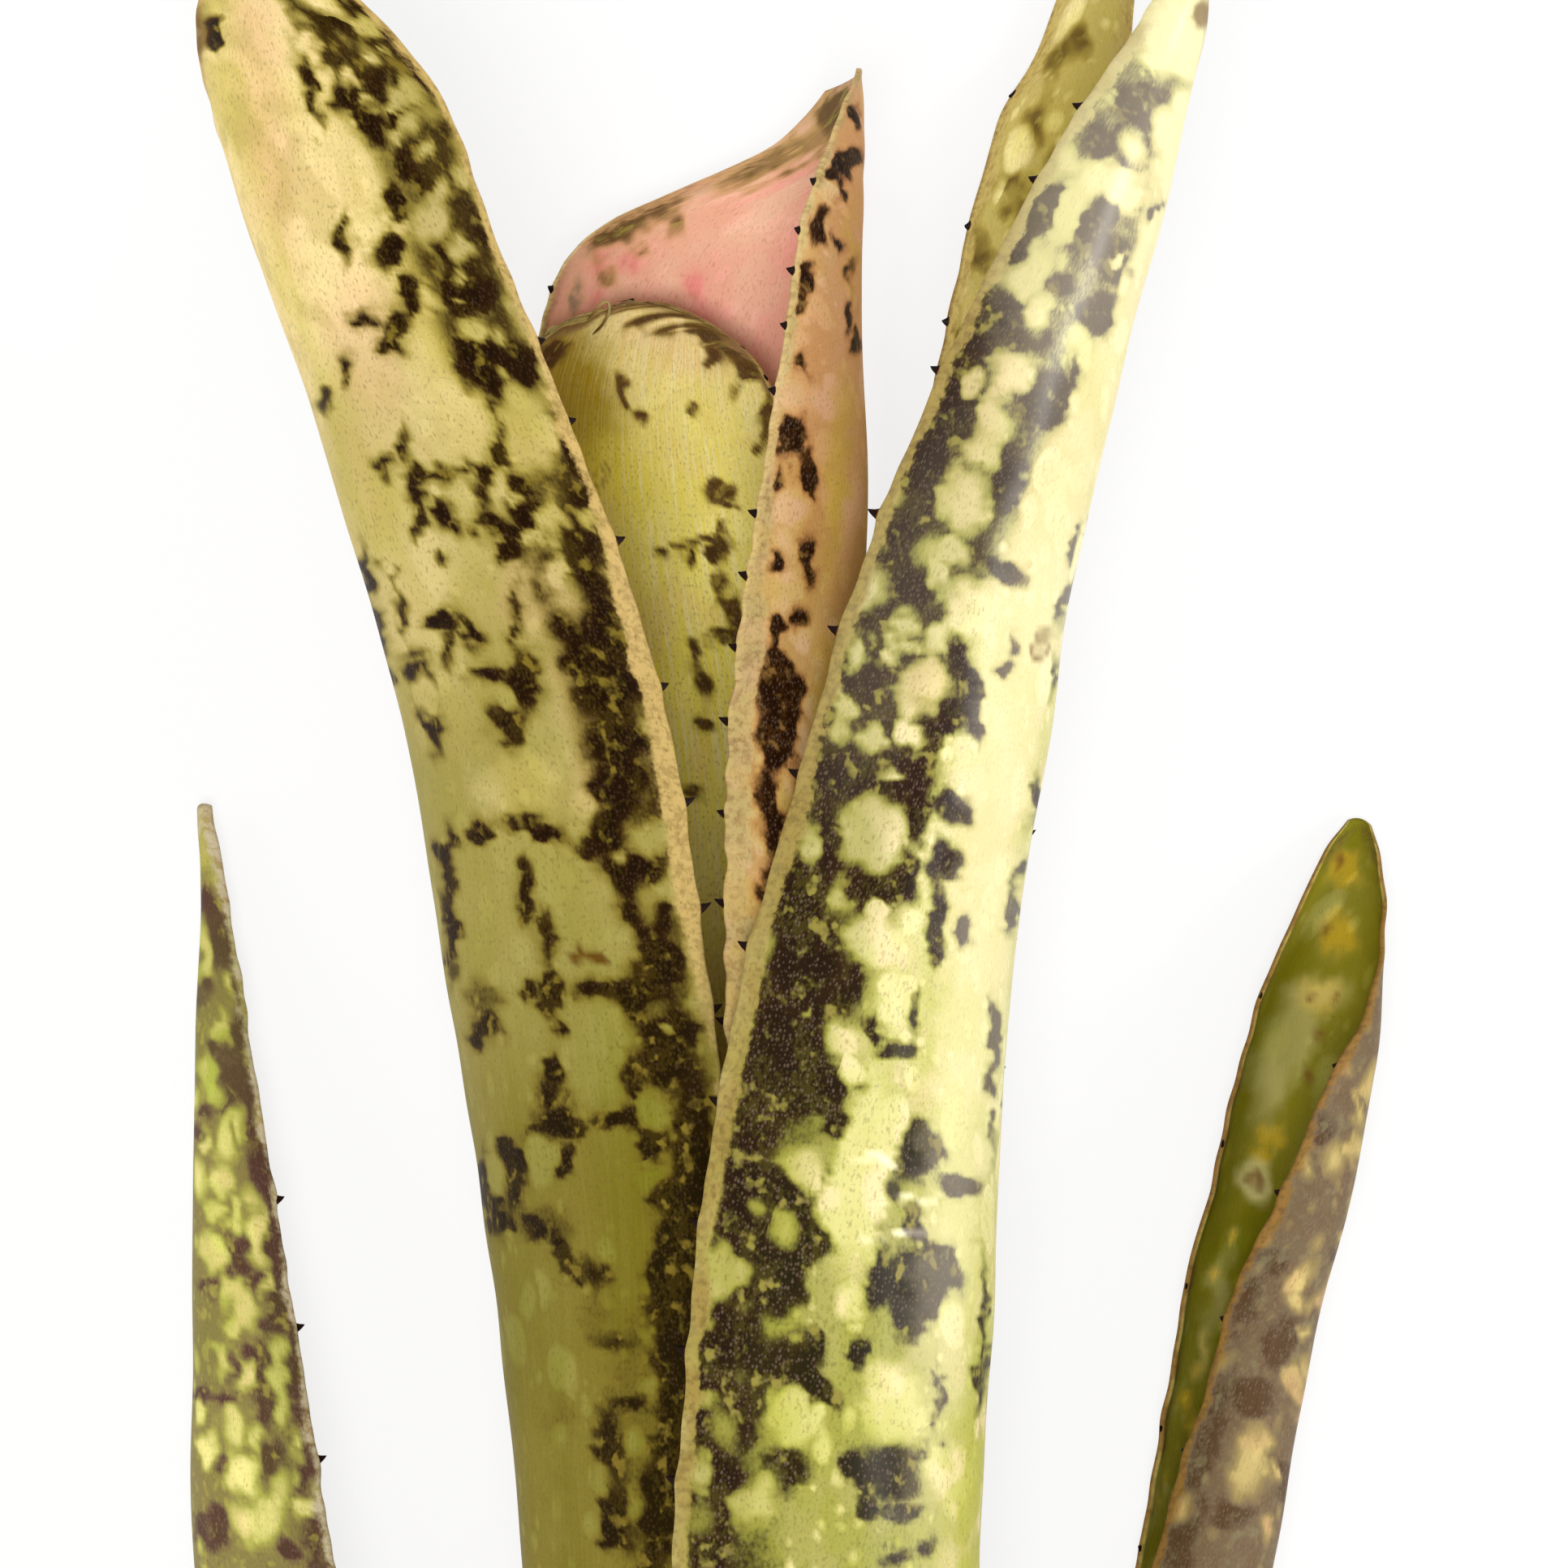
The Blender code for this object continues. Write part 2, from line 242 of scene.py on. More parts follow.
class Recipe:
    """A material or a world under construction, built from nodes."""

    def __init__(
        self, owner: bpy.types.Material | bpy.types.World, surface: str = "Principled BSDF"
    ) -> None:
        """Start with only the owner's surface shader.

        Args:
            owner: The material or world.
            surface: The name of its shader node.
        """
        owner.use_nodes = True
        self.owner = owner
        self.nodes = owner.node_tree.nodes
        self.links = owner.node_tree.links
        self.surface = self.nodes[surface]

    def add(
        self,
        kind: str,
        settings: dict[str, object] | None = None,
        sockets: dict[str | int, object] | None = None,
        output: str | int = 0,
    ) -> Wire:
        """Add a node.

        Args:
            kind: The node's type.
            settings: Its settings, which are set first.
            sockets: A value or a wire for each input that is set.
            output: The output to hand back.

        Returns:
            The wire that leaves the node.
        """
        node = self.nodes.new(kind)
        for key, value in (settings or {}).items():
            setattr(node, key, value)
        for key, value in (sockets or {}).items():
            self.plug(value, node.inputs[key])
        return Wire(self, node.outputs[output])

    def plug(self, value: object, socket: bpy.types.NodeSocket) -> None:
        """Link a wire to a socket, or set the socket to a plain value.

        Args:
            value: The wire or the value.
            socket: The input to fill.
        """
        if isinstance(value, Wire):
            self.links.new(value.socket, socket)
        else:
            socket.default_value = value

    def split(self, attribute: str) -> tuple[Wire, Wire, Wire]:
        """Read a mesh attribute.

        Args:
            attribute: Its name.

        Returns:
            Its three numbers.
        """
        settings = {"attribute_name": attribute}
        vector = self.add("ShaderNodeAttribute", settings, output="Vector")
        first = self.add("ShaderNodeSeparateXYZ", None, {0: vector})
        return first, first.other(1), first.other(2)

    def place(self, across: Wire | float, along: Wire | float, deep: float = 0.0) -> Wire:
        """Join two coordinates and a seed into a place for a texture."""
        return self.add("ShaderNodeCombineXYZ", None, {0: across, 1: along, 2: deep})

    def shift(self, place: Wire, waves: Wire, reach: float) -> Wire:
        """Move a place by the colour of a noise.

        Args:
            place: Where on the sheet.
            waves: The noise's colour.
            reach: Twice the furthest move, in millimetres.

        Returns:
            The place after the move.
        """
        kind = "ShaderNodeVectorMath"
        centred = self.add(kind, {"operation": "SUBTRACT"}, {0: waves, 1: (0.5, 0.5, 0.5)})
        sockets = {0: centred, 1: (reach, reach, 0.0), 2: place}
        return self.add(kind, {"operation": "MULTIPLY_ADD"}, sockets)

    def grain(self, place: Wire, size: float, detail: float = 2.0, output: str = "Fac") -> Wire:
        """Read a noise whose features are about this size."""
        sockets = {"Vector": place, "Scale": 1 / size, "Detail": detail}
        return self.add("ShaderNodeTexNoise", None, sockets, output)

    def cells(
        self, place: Wire, size: float, least: float, spread: float, jitter: float = 1.0
    ) -> Wire:
        """Measure how far outside the nearest round spot a place is.

        Args:
            place: Where on the sheet, in millimetres.
            size: Distance between spots.
            least: Smallest radius of a spot, as a share of size.
            spread: How much larger the largest spot is, as a share of size.
            jitter: How far the spots stray from even rows, 0 to 1.

        Returns:
            Millimetres from the spot's edge, below zero inside it.
        """
        sockets = {"Vector": place, "Scale": 1 / size, "Randomness": jitter}
        distance = self.add("ShaderNodeTexVoronoi", None, sockets)
        chance = self.add("ShaderNodeSeparateColor", None, {0: distance.other("Color")})
        return (distance - least - chance * spread) * size

    def blend(self, share: Wire | float, below: object, above: object) -> Wire:
        """Mix two colours by a share."""
        settings = {"data_type": "RGBA"}
        return self.add("ShaderNodeMix", settings, {0: share, 6: below, 7: above}, 2)

    def finish(self, **surface: object) -> bpy.types.Material | bpy.types.World:
        """Fill the surface shader's sockets.

        Args:
            surface: A value or a wire for each socket, named with _ for a space.

        Returns:
            The owner.
        """
        for key, value in surface.items():
            self.plug(value, self.surface.inputs[key.replace("_", " ")])
        return self.owner


@dataclass(frozen=True)
class Skin:
    """The finish of one face of a leaf: pale ground, dark mottles and a paler margin."""

    name: str
    seed: float = 0.0
    cream: Colour = tint(252, 243, 178)
    lime: Colour = tint(202, 194, 94)
    beige: Colour = tint(246, 226, 166)
    blotch: Colour = tint(246, 222, 168)
    dark: Colour = tint(50, 28, 13)
    deep: Colour = tint(27, 11, 5)
    forest: Colour = tint(34, 38, 5)
    fringe: Colour = tint(124, 108, 44)
    moss: Colour = tint(88, 80, 26)
    freckle: Colour = tint(158, 146, 66)
    pink: Colour = tint(236, 176, 148)
    green_and_shade: Colour = tint(180, 178, 82)
    gold_and_shade: Colour = tint(150, 130, 8)
    dry: Colour = tint(116, 80, 34)
    rim: Colour = tint(190, 166, 92)
    stain: Colour = tint(150, 118, 62)
    scurf: Colour = tint(132, 110, 92)
    # The colour that the dark mottles take under the pale layer; on the front right leaf it paints
    # a sheen.
    silver_sheen: Colour = tint(168, 164, 142)
    shade: Colour = tint(112, 92, 36)
    vein: Colour = tint(214, 204, 118)
    spot_size: float = 8.5
    spot_depth: float = 3.4
    shade_share: float = 0.42
    lime_share: float = 0.75
    beige_share: float = 0.45
    blotch_share: float = 0.5
    moss_share: float = 0.4
    freckle_share: float = 0.8
    scurf_share: float = 0.4
    vein_share: float = 0.28
    rim_share: float = 0.9
    vein_pitch: float = 0.42
    vein_relief: float = 0.04
    softness: float = 1.0
    roughness: float = 0.5
    specular: float = 0.06
    coat: float = 0.0
    coat_roughness: float = 0.3

    def mottle(self, r: Recipe, place: Wire, weave: Wire, tone: Wire) -> Wire:
        """Lay out the mottles.

        Args:
            r: The material.
            place: Where on the sheet.
            weave: The fine rows along the veins, which stipple the mottles' edges.
            tone: The bias, above zero where the leaf is darker.

        Returns:
            Millimetres into the dark, below zero on the pale ground.
        """
        broad = r.grain(place, 9.0, 2.0, "Color")
        fine = r.grain(place, 2.0, 3.0, "Color")
        bent = r.shift(r.shift(place, broad, 4.0), fine, 1.1)
        large = r.cells(bent, self.spot_size, 0.16, 0.3)
        middle = r.cells(bent, self.spot_size * 0.47, 0.0, 0.44)
        small = r.cells(bent, self.spot_size * 0.22, -0.25, 0.75)
        spots = large.least(middle).least(small).least(0.0)
        return spots * self.spot_depth + tone * 6.0 + (weave - 0.5) * 3.0

    def material(self) -> bpy.types.Material:
        """Build the face's material.

        Returns:
            The material.
        """
        r = Recipe(bpy.data.materials.new(self.name))
        across, along, grain = r.split("sheet")
        tone, blush, green_and_shade = r.split("paint")
        dry, gold_and_shade, pale = r.split("touch")
        edge = r.split("edges")[2]

        # How far each point lies into a dark mottle, and how near the ragged margin.
        place = r.place(across, along * 0.78, self.seed)
        weave = r.grain(r.place(grain, along * 0.6, self.seed + 5.9), self.vein_pitch, 1.5)
        fray = r.grain(r.place(across, along, self.seed + 9.1), 0.9, 3.0)
        sway = r.grain(place, 5.0, 2.0)
        inward = edge + (fray - 0.5) * 0.9 + (sway - 0.5) * 3.0 + (weave - 0.5) * 0.5
        strip = inward.rise(0.8, -0.8)
        into = self.mottle(r, place, weave, tone) - strip * 8.0
        dark = into.rise(-1.5 * self.softness, 1.7 * self.softness)
        near = into.rise(-4.2, -1.2)
        fringe = into.rise(-4.0 * self.softness, 0.3)
        heart = into.rise(0.8, 4.2)

        # Slow drifts of colour, fine veins, rows of scurf dots and scattered freckles.
        ground = r.place(across, along * 0.45, self.seed + 7.7)
        drift = r.grain(ground, 13.0, 3.0)
        cloud = r.grain(ground, 5.0, 3.0)
        vein = r.grain(r.place(grain, along * 0.035, self.seed + 1.3), self.vein_pitch, 2.0)
        rows = r.cells(r.place(grain, along * 0.75), self.vein_pitch * 1.1, 0.22, 0.2, 0.75)
        dots = rows.rise(0.08, -0.09)
        mossy = r.grain(place, 4.0, 4.0)
        flecks = r.grain(place, 1.7, 2.0)
        freckle = flecks.rise(0.54, 0.68) * mossy.rise(0.38, 0.55) * self.freckle_share

        # The pale ground, with its tints, blots and veins, and the rim along the margin.
        base = r.blend(drift.rise(0.4, 0.62) * self.lime_share, self.cream, self.lime)
        base = r.blend(cloud.rise(0.46, 0.68) * self.beige_share, base, self.beige)
        base = r.blend(near * 0.8, base, self.lime)
        base = r.blend(blush, base, self.pink)
        # The gold and green layers carry the leaf's own tints and, on the two front leaves, painted
        # shade as well.
        base = r.blend(gold_and_shade, base, self.gold_and_shade)
        base = r.blend(green_and_shade * (0.75 + drift.rise(0.35, 0.6) * 0.25), base, self.green_and_shade)
        blots = r.grain(place, 6.0, 2.0).rise(0.47, 0.62) * (1 - near * 0.7) * (1 - gold_and_shade)
        base = r.blend(blots * self.blotch_share, base, self.blotch)
        base = r.blend(vein.rise(0.4, 0.68) * self.vein_share * (1 - gold_and_shade * 0.7), base, self.vein)
        base = r.blend(fringe * 0.7, base, self.fringe)
        rim = r.blend(fray.rise(0.42, 0.66) * 0.7, self.rim, self.stain)
        worn = self.rim_share * (1 - green_and_shade * sway.rise(0.42, 0.58) * 0.7)
        base = r.blend(inward.rise(1.3, -0.2) * worn, base, rim)
        base = r.blend(weave.rise(0.5, 0.24) * self.shade_share, base, self.shade)

        # The dark mottles, then both together under the pale layer and the dried spots.
        ink = r.blend(heart * (0.4 + vein * 0.8), self.dark, self.deep)
        ink = r.blend(green_and_shade * 0.5, ink, self.forest)
        mossed = (mossy + (weave - 0.5) * 0.8).rise(0.46, 0.66)
        ink = r.blend(mossed * self.moss_share, ink, self.moss)
        ink = r.blend(freckle, ink, self.freckle)
        ink = r.blend(dots * self.scurf_share, ink, self.scurf)
        # Where the pale layer lies, the ground turns cream and the mottles take the silver sheen
        # colour: pale marks on most faces, and a painted highlight and sheen on the front right
        # leaf.
        look = r.blend(dark, r.blend(pale, base, self.cream), r.blend(pale, ink, self.silver_sheen))
        look = r.blend(dry, look, self.dry)

        relief = (vein * 0.5 + weave * 0.6 + dots * 0.45) * self.vein_relief
        bump = r.add("ShaderNodeBump", None, {"Strength": 1.0, "Distance": MM, "Height": relief})
        rough = self.roughness + (weave - 0.5) * 0.3 + dry * 0.25
        gloss = (pale * 1.5 + 0.25) * self.coat if self.coat else 0.0
        return r.finish(
            Base_Color=look,
            Roughness=rough,
            Normal=bump,
            Specular_IOR_Level=self.specular,
            Coat_Weight=gloss,
            Coat_Roughness=self.coat_roughness,
        )


@dataclass(frozen=True)
class ToothFinish:
    """Dark, horny teeth with a redder foot."""

    foot: Colour = tint(132, 66, 30)
    point: Colour = tint(28, 12, 9)

    def material(self) -> bpy.types.Material:
        """Build the teeth's material.

        Returns:
            The material.
        """
        r = Recipe(bpy.data.materials.new("leaf_teeth"))
        up, across, _ = r.split("edges")
        mottle = r.grain(r.place(up * 2.0, across * 2.0), 0.6, 2.0)
        look = r.blend((up + (mottle - 0.5) * 0.3).rise(0.12, 0.42), self.foot, self.point)
        return r.finish(Base_Color=look, Roughness=0.4 + mottle * 0.2, Specular_IOR_Level=0.15)


class Layer(Enum):
    """What a dab of paint changes."""

    TONE = ("paint", 0)
    BLUSH = ("paint", 1)
    GREEN = ("paint", 2)
    DRY = ("touch", 0)
    GOLD_AND_SHADE = ("touch", 1)
    PALE = ("touch", 2)


TONE, BLUSH, GREEN, DRY, GOLD_AND_SHADE, PALE = Layer


@dataclass(frozen=True)
class Stroke:
    """Soft spots of one layer, laid at one strength.

    Each spot lists x and y as seen from above, then its half width, half height and
    turn in degrees.  Without the last two it is round and upright.
    """

    layer: Layer
    amount: float
    spots: Rows
    soft: float = 0.0


def dab(layer: Layer, amount: float, *spots: tuple[float, ...], soft: float = 0.0) -> Stroke:
    """Lay spots of a layer at one strength."""
    return Stroke(layer, amount, spots, soft)


def grown(spots: Rows, by: float) -> Rows:
    """Widen listed spots all round.

    Args:
        spots: The spots.
        by: How much wider each half gets, in millimetres.

    Returns:
        The wider spots.
    """
    wider = []
    for x, y, wide, *more in spots:
        high = more[0] if more else wide
        wider.append((x, y, wide + by, high + by, *more[1:]))
    return tuple(wider)


@dataclass(frozen=True)
class Paint:
    """What is laid on one face: a ground, strokes over it, and pale margin strips."""

    ground: float = -0.45
    unseen: float = -0.12
    band: float = 0.0
    band_margin: int = 0
    band_reach: float = 12.0
    # (height, width of the strip on the first margin, then on the second)
    strips: Rows = ((0, 1.1, 1.1),)
    strokes: tuple[Stroke, ...] = ()

    # How the spots' outlines wander: the length of the waves, and their reach.
    BROAD_WANDER = (7.0, 0.45)
    FINE_WANDER = (2.6, 0.35)
    # The softest and the sharpest edge of a spot whose softness isn't given.
    SOFTEST = 2.6
    SHARPEST = 1.2

    def lay(self, sheet: "Sheet", seen: np.ndarray, seed: int) -> dict[str, np.ndarray]:
        """Spread the strokes over a face.

        Args:
            sheet: The leaf's sheet.
            seen: How far each point of the face shows from above, 0 to 1.
            seed: Picks how the spots' edges wander.

        Returns:
            The face's attributes, by name.
        """
        size = sheet.across.shape
        layers = {"paint": np.zeros((*size, 3)), "touch": np.zeros((*size, 3))}
        margin = (sheet.first, sheet.second)[self.band_margin]
        band = ease(1.0, 3.0, margin) - ease(self.band_reach * 0.7, self.band_reach, margin)
        tone = self.ground + self.band * band
        layers["paint"][..., 0] = self.unseen + (tone - self.unseen) * seen
        flat = sheet.seen_from_above()
        broad = self._wander(flat, self.BROAD_WANDER, seed)
        fine = self._wander(flat, self.FINE_WANDER, seed + 2)
        flat = flat + broad + fine
        for stroke in self.strokes:
            name, channel = stroke.layer.value
            target = layers[name][..., channel]
            for x, y, wide, *more in stroke.spots:
                high = more[0] if more else wide
                turn = math.radians(more[1]) if len(more) > 1 else 0.0
                dx, dy = flat[..., 0] - x, flat[..., 1] - y
                u = (dx * math.cos(turn) + dy * math.sin(turn)) / wide
                v = (dy * math.cos(turn) - dx * math.sin(turn)) / high
                least = min(wide, high)
                soft = stroke.soft or min(self.SOFTEST, max(self.SHARPEST, 1.1 * least))
                inside = (1 - np.hypot(u, v)) * least / soft
                target += (stroke.amount - target) * ease(-0.5, 0.5, inside) * seen
        heights, first, second = np.array(self.strips, float).T
        at = sheet.points[..., 1]
        on_first = sheet.first - np.interp(at, heights, first)
        into = np.minimum(on_first, sheet.second - np.interp(at, heights, second))
        return {**layers, "edges": np.stack([sheet.first, sheet.second, into], -1)}

    @staticmethod
    def _wander(flat: np.ndarray, wave: tuple[float, float], seed: int) -> np.ndarray:
        """Give each place a soft random push sideways and lengthways."""
        length, reach = wave
        return reach * np.stack([ripple(flat, length, seed), ripple(flat, length, seed + 1)], -1)


@dataclass(frozen=True)
class LeafForm:
    """One leaf's measurements: its ring in the tube, rolled surface, margins and teeth."""

    name: str
    ring: int
    # (height, centre x, centre z, radius) above the tube
    surface: Rows
    # (angle, height) of the first margin, then of the second, then the row's bulge
    rows: Rows
    first_teeth: tuple[float, ...] = ()
    second_teeth: tuple[float, ...] = ()
    tooth_length: float = 1.7
    fine_step: float = 0.75
    # above this height, and between these shares of the way across, the mesh is fine
    fine_above: float = -10.0
    fine_from: float = -1.0
    fine_to: float = 2.0
    sway: float = 0.25

    def stations(self) -> np.ndarray:
        """List the rolled surface's stations from the leaf's foot to its tip.

        Returns:
            Rows of height, centre x, centre z and radius.
        """
        foot = LOWEST_LEAF_BASE + BASE_STEP * self.ring
        stem = STEM_RADIUS - STEM_TAPER * (foot - LOWEST_LEAF_BASE)
        stations = [(foot, TUBE_CENTRE_X, 0.0, stem + SEAT_GAP + SHEET_THICKNESS / 2)]
        for height, radius in zip(TUBE_HEIGHTS, TUBE_RADII):
            if height < self.surface[0][0]:
                ring_radius = radius - RING_PITCH * (self.ring - 1)
                stations.append((height, TUBE_CENTRE_X, 0.0, ring_radius))
        return np.array(stations + [tuple(s) for s in self.surface])

    def points(self, places: np.ndarray, shares: np.ndarray) -> tuple[np.ndarray, np.ndarray]:
        """Find points of the leaf's middle sheet.

        Args:
            places: Row positions, counted in rows of the table.
            shares: For each row, shares of the way from the first margin to the second.

        Returns:
            The points, and for each the direction away from the middle of the roll.
        """
        stations = self.stations()
        rows = np.array(self.rows, float)
        index = range(len(rows))
        a1, y1, a2, y2, bulge = (smooth(index, rows[:, k], places)[:, None] for k in range(5))
        angle = np.radians(a1 + (a2 - a1) * shares)
        height = y1 + (y2 - y1) * shares + bulge * 4 * shares * (1 - shares)
        flat = height.ravel()
        x, z, radius = (smooth(stations[:, 0], stations[:, k], flat) for k in (1, 2, 3))
        x, z, radius = (a.reshape(height.shape) for a in (x, z, radius))
        out = np.stack([np.cos(angle), np.zeros_like(angle), np.sin(angle)], -1)
        centre = np.stack([x, height, z], -1)
        return centre + radius[..., None] * out, out


class Sheet:
    """A leaf's middle sheet, sampled finely, with its distances and directions."""

    # Places of the columns next to a margin, which close up where the leaf is narrow.
    RIM_STEPS = np.array((0.0, 0.25, 0.6, 1.1, 1.8, 2.7))
    NARROW = 12.0
    COARSE_STEP = 2.4
    STEP_BLEND = 0.04
    DENSE = 3000
    WIDTH_PROBES = 33
    TIP_PROBES = 60

    def __init__(self, form: LeafForm) -> None:
        """Sample the form and measure it.

        Args:
            form: The leaf's measurements.
        """
        places = self._row_places(form)
        probe = np.tile(np.linspace(0, 1, self.WIDTH_PROBES), (len(places), 1))
        lengths = np.linalg.norm(np.diff(form.points(places, probe)[0], axis=1), axis=-1)
        width = lengths.sum(1)
        shown = form.points(places, probe[:, :1])[0][:, 0, 1] > form.fine_above
        columns = self._column_shares(form, width[shown].max())
        wide = width[:, None]
        rim = self.RIM_STEPS[None, :] * np.minimum(1, wide / self.NARROW) / wide
        middle = rim[:, -1:] + (1 - 2 * rim[:, -1:]) * columns[None, 1:-1]
        shares = np.concatenate([rim, middle, 1 - rim[:, ::-1]], axis=1)
        self.points, out = form.points(places, shares)
        step = np.linalg.norm(np.diff(self.points, axis=1), axis=-1)
        self.across = np.concatenate([np.zeros((len(places), 1)), step.cumsum(1)], axis=1)
        spine = self.points[:, shares.shape[1] // 2]
        along = np.concatenate([[0], np.linalg.norm(np.diff(spine, axis=0), axis=-1).cumsum()])
        along -= np.interp(0.0, spine[:, 1], along)
        self.along = np.broadcast_to(along[:, None], shares.shape)
        self.grain = shares * width.max()
        self.toward_tip = self._unit(np.gradient(self.points, axis=0))
        self.sideways = self._unit(np.gradient(self.points, axis=1))
        normal = self._unit(np.cross(self.sideways, self.toward_tip))
        self.normal = normal * np.sign((normal * out).sum(-1).mean())
        self._measure_margins(form)
        self.share = (np.arange(len(places)) / (len(places) - 1))[:, None]

    def _column_shares(self, form: LeafForm, width: float) -> np.ndarray:
        """Space the columns closely where the leaf is seen, and further apart elsewhere.

        Args:
            form: The leaf's measurements.
            width: The sheet's greatest width.

        Returns:
            Each column's share of the way across.
        """
        share = np.linspace(0, 1, self.DENSE)
        close = ease(form.fine_from - self.STEP_BLEND, form.fine_from, share)
        close = close * (1 - ease(form.fine_to, form.fine_to + self.STEP_BLEND, share))
        step = self.COARSE_STEP + (form.fine_step - self.COARSE_STEP) * close
        run = np.concatenate([[0], (width / (self.DENSE - 1) / step[1:]).cumsum()])
        return np.interp(np.linspace(0, run[-1], math.ceil(run[-1]) + 1), run, share)

    def _row_places(self, form: LeafForm) -> np.ndarray:
        """Space the rows evenly, and further apart down in the tube.

        Args:
            form: The leaf's measurements.

        Returns:
            Row positions, counted in rows of the form's table.
        """
        dense = np.linspace(0, len(form.rows) - 1, self.DENSE)
        marks = np.tile(np.array((0.0, 0.5, 1.0)), (self.DENSE, 1))
        points = form.points(dense, marks)[0]
        length = np.linalg.norm(np.diff(points, axis=0), axis=-1).max(1)
        low = points[1:, 1, 1] < form.fine_above
        cost = length / np.where(low, self.COARSE_STEP, form.fine_step)
        run = np.concatenate([[0], cost.cumsum()])
        return np.interp(np.linspace(0, run[-1], math.ceil(run[-1]) + 1), run, dense)

    def _measure_margins(self, form: LeafForm) -> None:
        """Measure each point's distance to the first, the second and the nearest margin.

        Args:
            form: The leaf's measurements.
        """
        fine = np.linspace(0, len(form.rows) - 1, self.DENSE)
        ends = form.points(fine, np.tile(np.array((0.0, 1.0)), (self.DENSE, 1)))[0]
        tip = form.points(fine[-1:], np.linspace(0, 1, self.TIP_PROBES)[None, :])[0][0]
        half = self.TIP_PROBES // 2
        sides = (
            np.concatenate([ends[:, 0], tip[: half + 1]]),
            np.concatenate([ends[:, 1], tip[half:]]),
        )
        found = []
        for side in sides:
            tree = kdtree.KDTree(len(side))
            for i, p in enumerate(side):
                tree.insert(p, i)
            tree.balance()
            near = [tree.find(p)[2] for p in self.points.reshape(-1, 3)]
            found.append(np.array(near).reshape(self.across.shape))
        self.first, self.second = found
        self.edge = np.minimum(self.first, self.second)

    def seen_from_above(self) -> np.ndarray:
        """Give each point's place as the camera over the rosette sees it."""
        zoom = VIEW_DISTANCE / (VIEW_DISTANCE - self.points[..., 2:])
        return (self.points[..., :2] - VIEW_CENTRE) * zoom + VIEW_CENTRE

    @staticmethod
    def _unit(vectors: np.ndarray) -> np.ndarray:
        """Scale vectors to length one."""
        return vectors / np.maximum(np.linalg.norm(vectors, axis=-1, keepdims=True), 1e-9)


class Stock:
    """Collects pieces of mesh, with their attributes and materials, into one object."""

    ATTRIBUTES = ("sheet", "edges", "paint", "touch")

    def __init__(self, name: str) -> None:
        """Start with nothing in stock.

        Args:
            name: The object's name.
        """
        self.name = name
        self.points: list[np.ndarray] = []
        self.faces: list[tuple[int, ...]] = []
        self.slots: list[int] = []
        self.values: dict[str, list[np.ndarray]] = {a: [] for a in self.ATTRIBUTES}
        self.count = 0

    def add(
        self,
        points: np.ndarray,
        faces: list[tuple[int, ...]],
        slots: int | list[int],
        values: dict[str, np.ndarray],
    ) -> None:
        """Add a closed piece.

        Args:
            points: Its points, in millimetres from the rosette's axis.
            faces: Its faces, counted from its own first point.
            slots: The material of all faces, or of each.
            values: Attributes of its points; those left out are zero.
        """
        self.points.append(points)
        self.faces += [tuple(i + self.count for i in f) for f in faces]
        self.slots += [slots] * len(faces) if isinstance(slots, int) else slots
        for a in self.ATTRIBUTES:
            self.values[a].append(values.get(a, np.zeros((len(points), 3))))
        self.count += len(points)

    def build(self, materials: Sequence[bpy.types.Material]) -> bpy.types.Object:
        """Make the object.

        Args:
            materials: Its materials, in the order of the faces' slots.

        Returns:
            The object, in the scene.
        """
        mesh = bpy.data.meshes.new(self.name)
        placed = (np.concatenate(self.points) + AXIS) * MM
        mesh.from_pydata(placed.tolist(), [], self.faces)
        for a in self.ATTRIBUTES:
            store = mesh.attributes.new(a, "FLOAT_VECTOR", "POINT")
            store.data.foreach_set("vector", np.concatenate(self.values[a]).ravel())
        for material in materials:
            mesh.materials.append(material)
        mesh.polygons.foreach_set("material_index", self.slots)
        mesh.shade_smooth()
        mesh.update()
        obj = bpy.data.objects.new(self.name, mesh)
        bpy.context.scene.collection.objects.link(obj)
        return obj


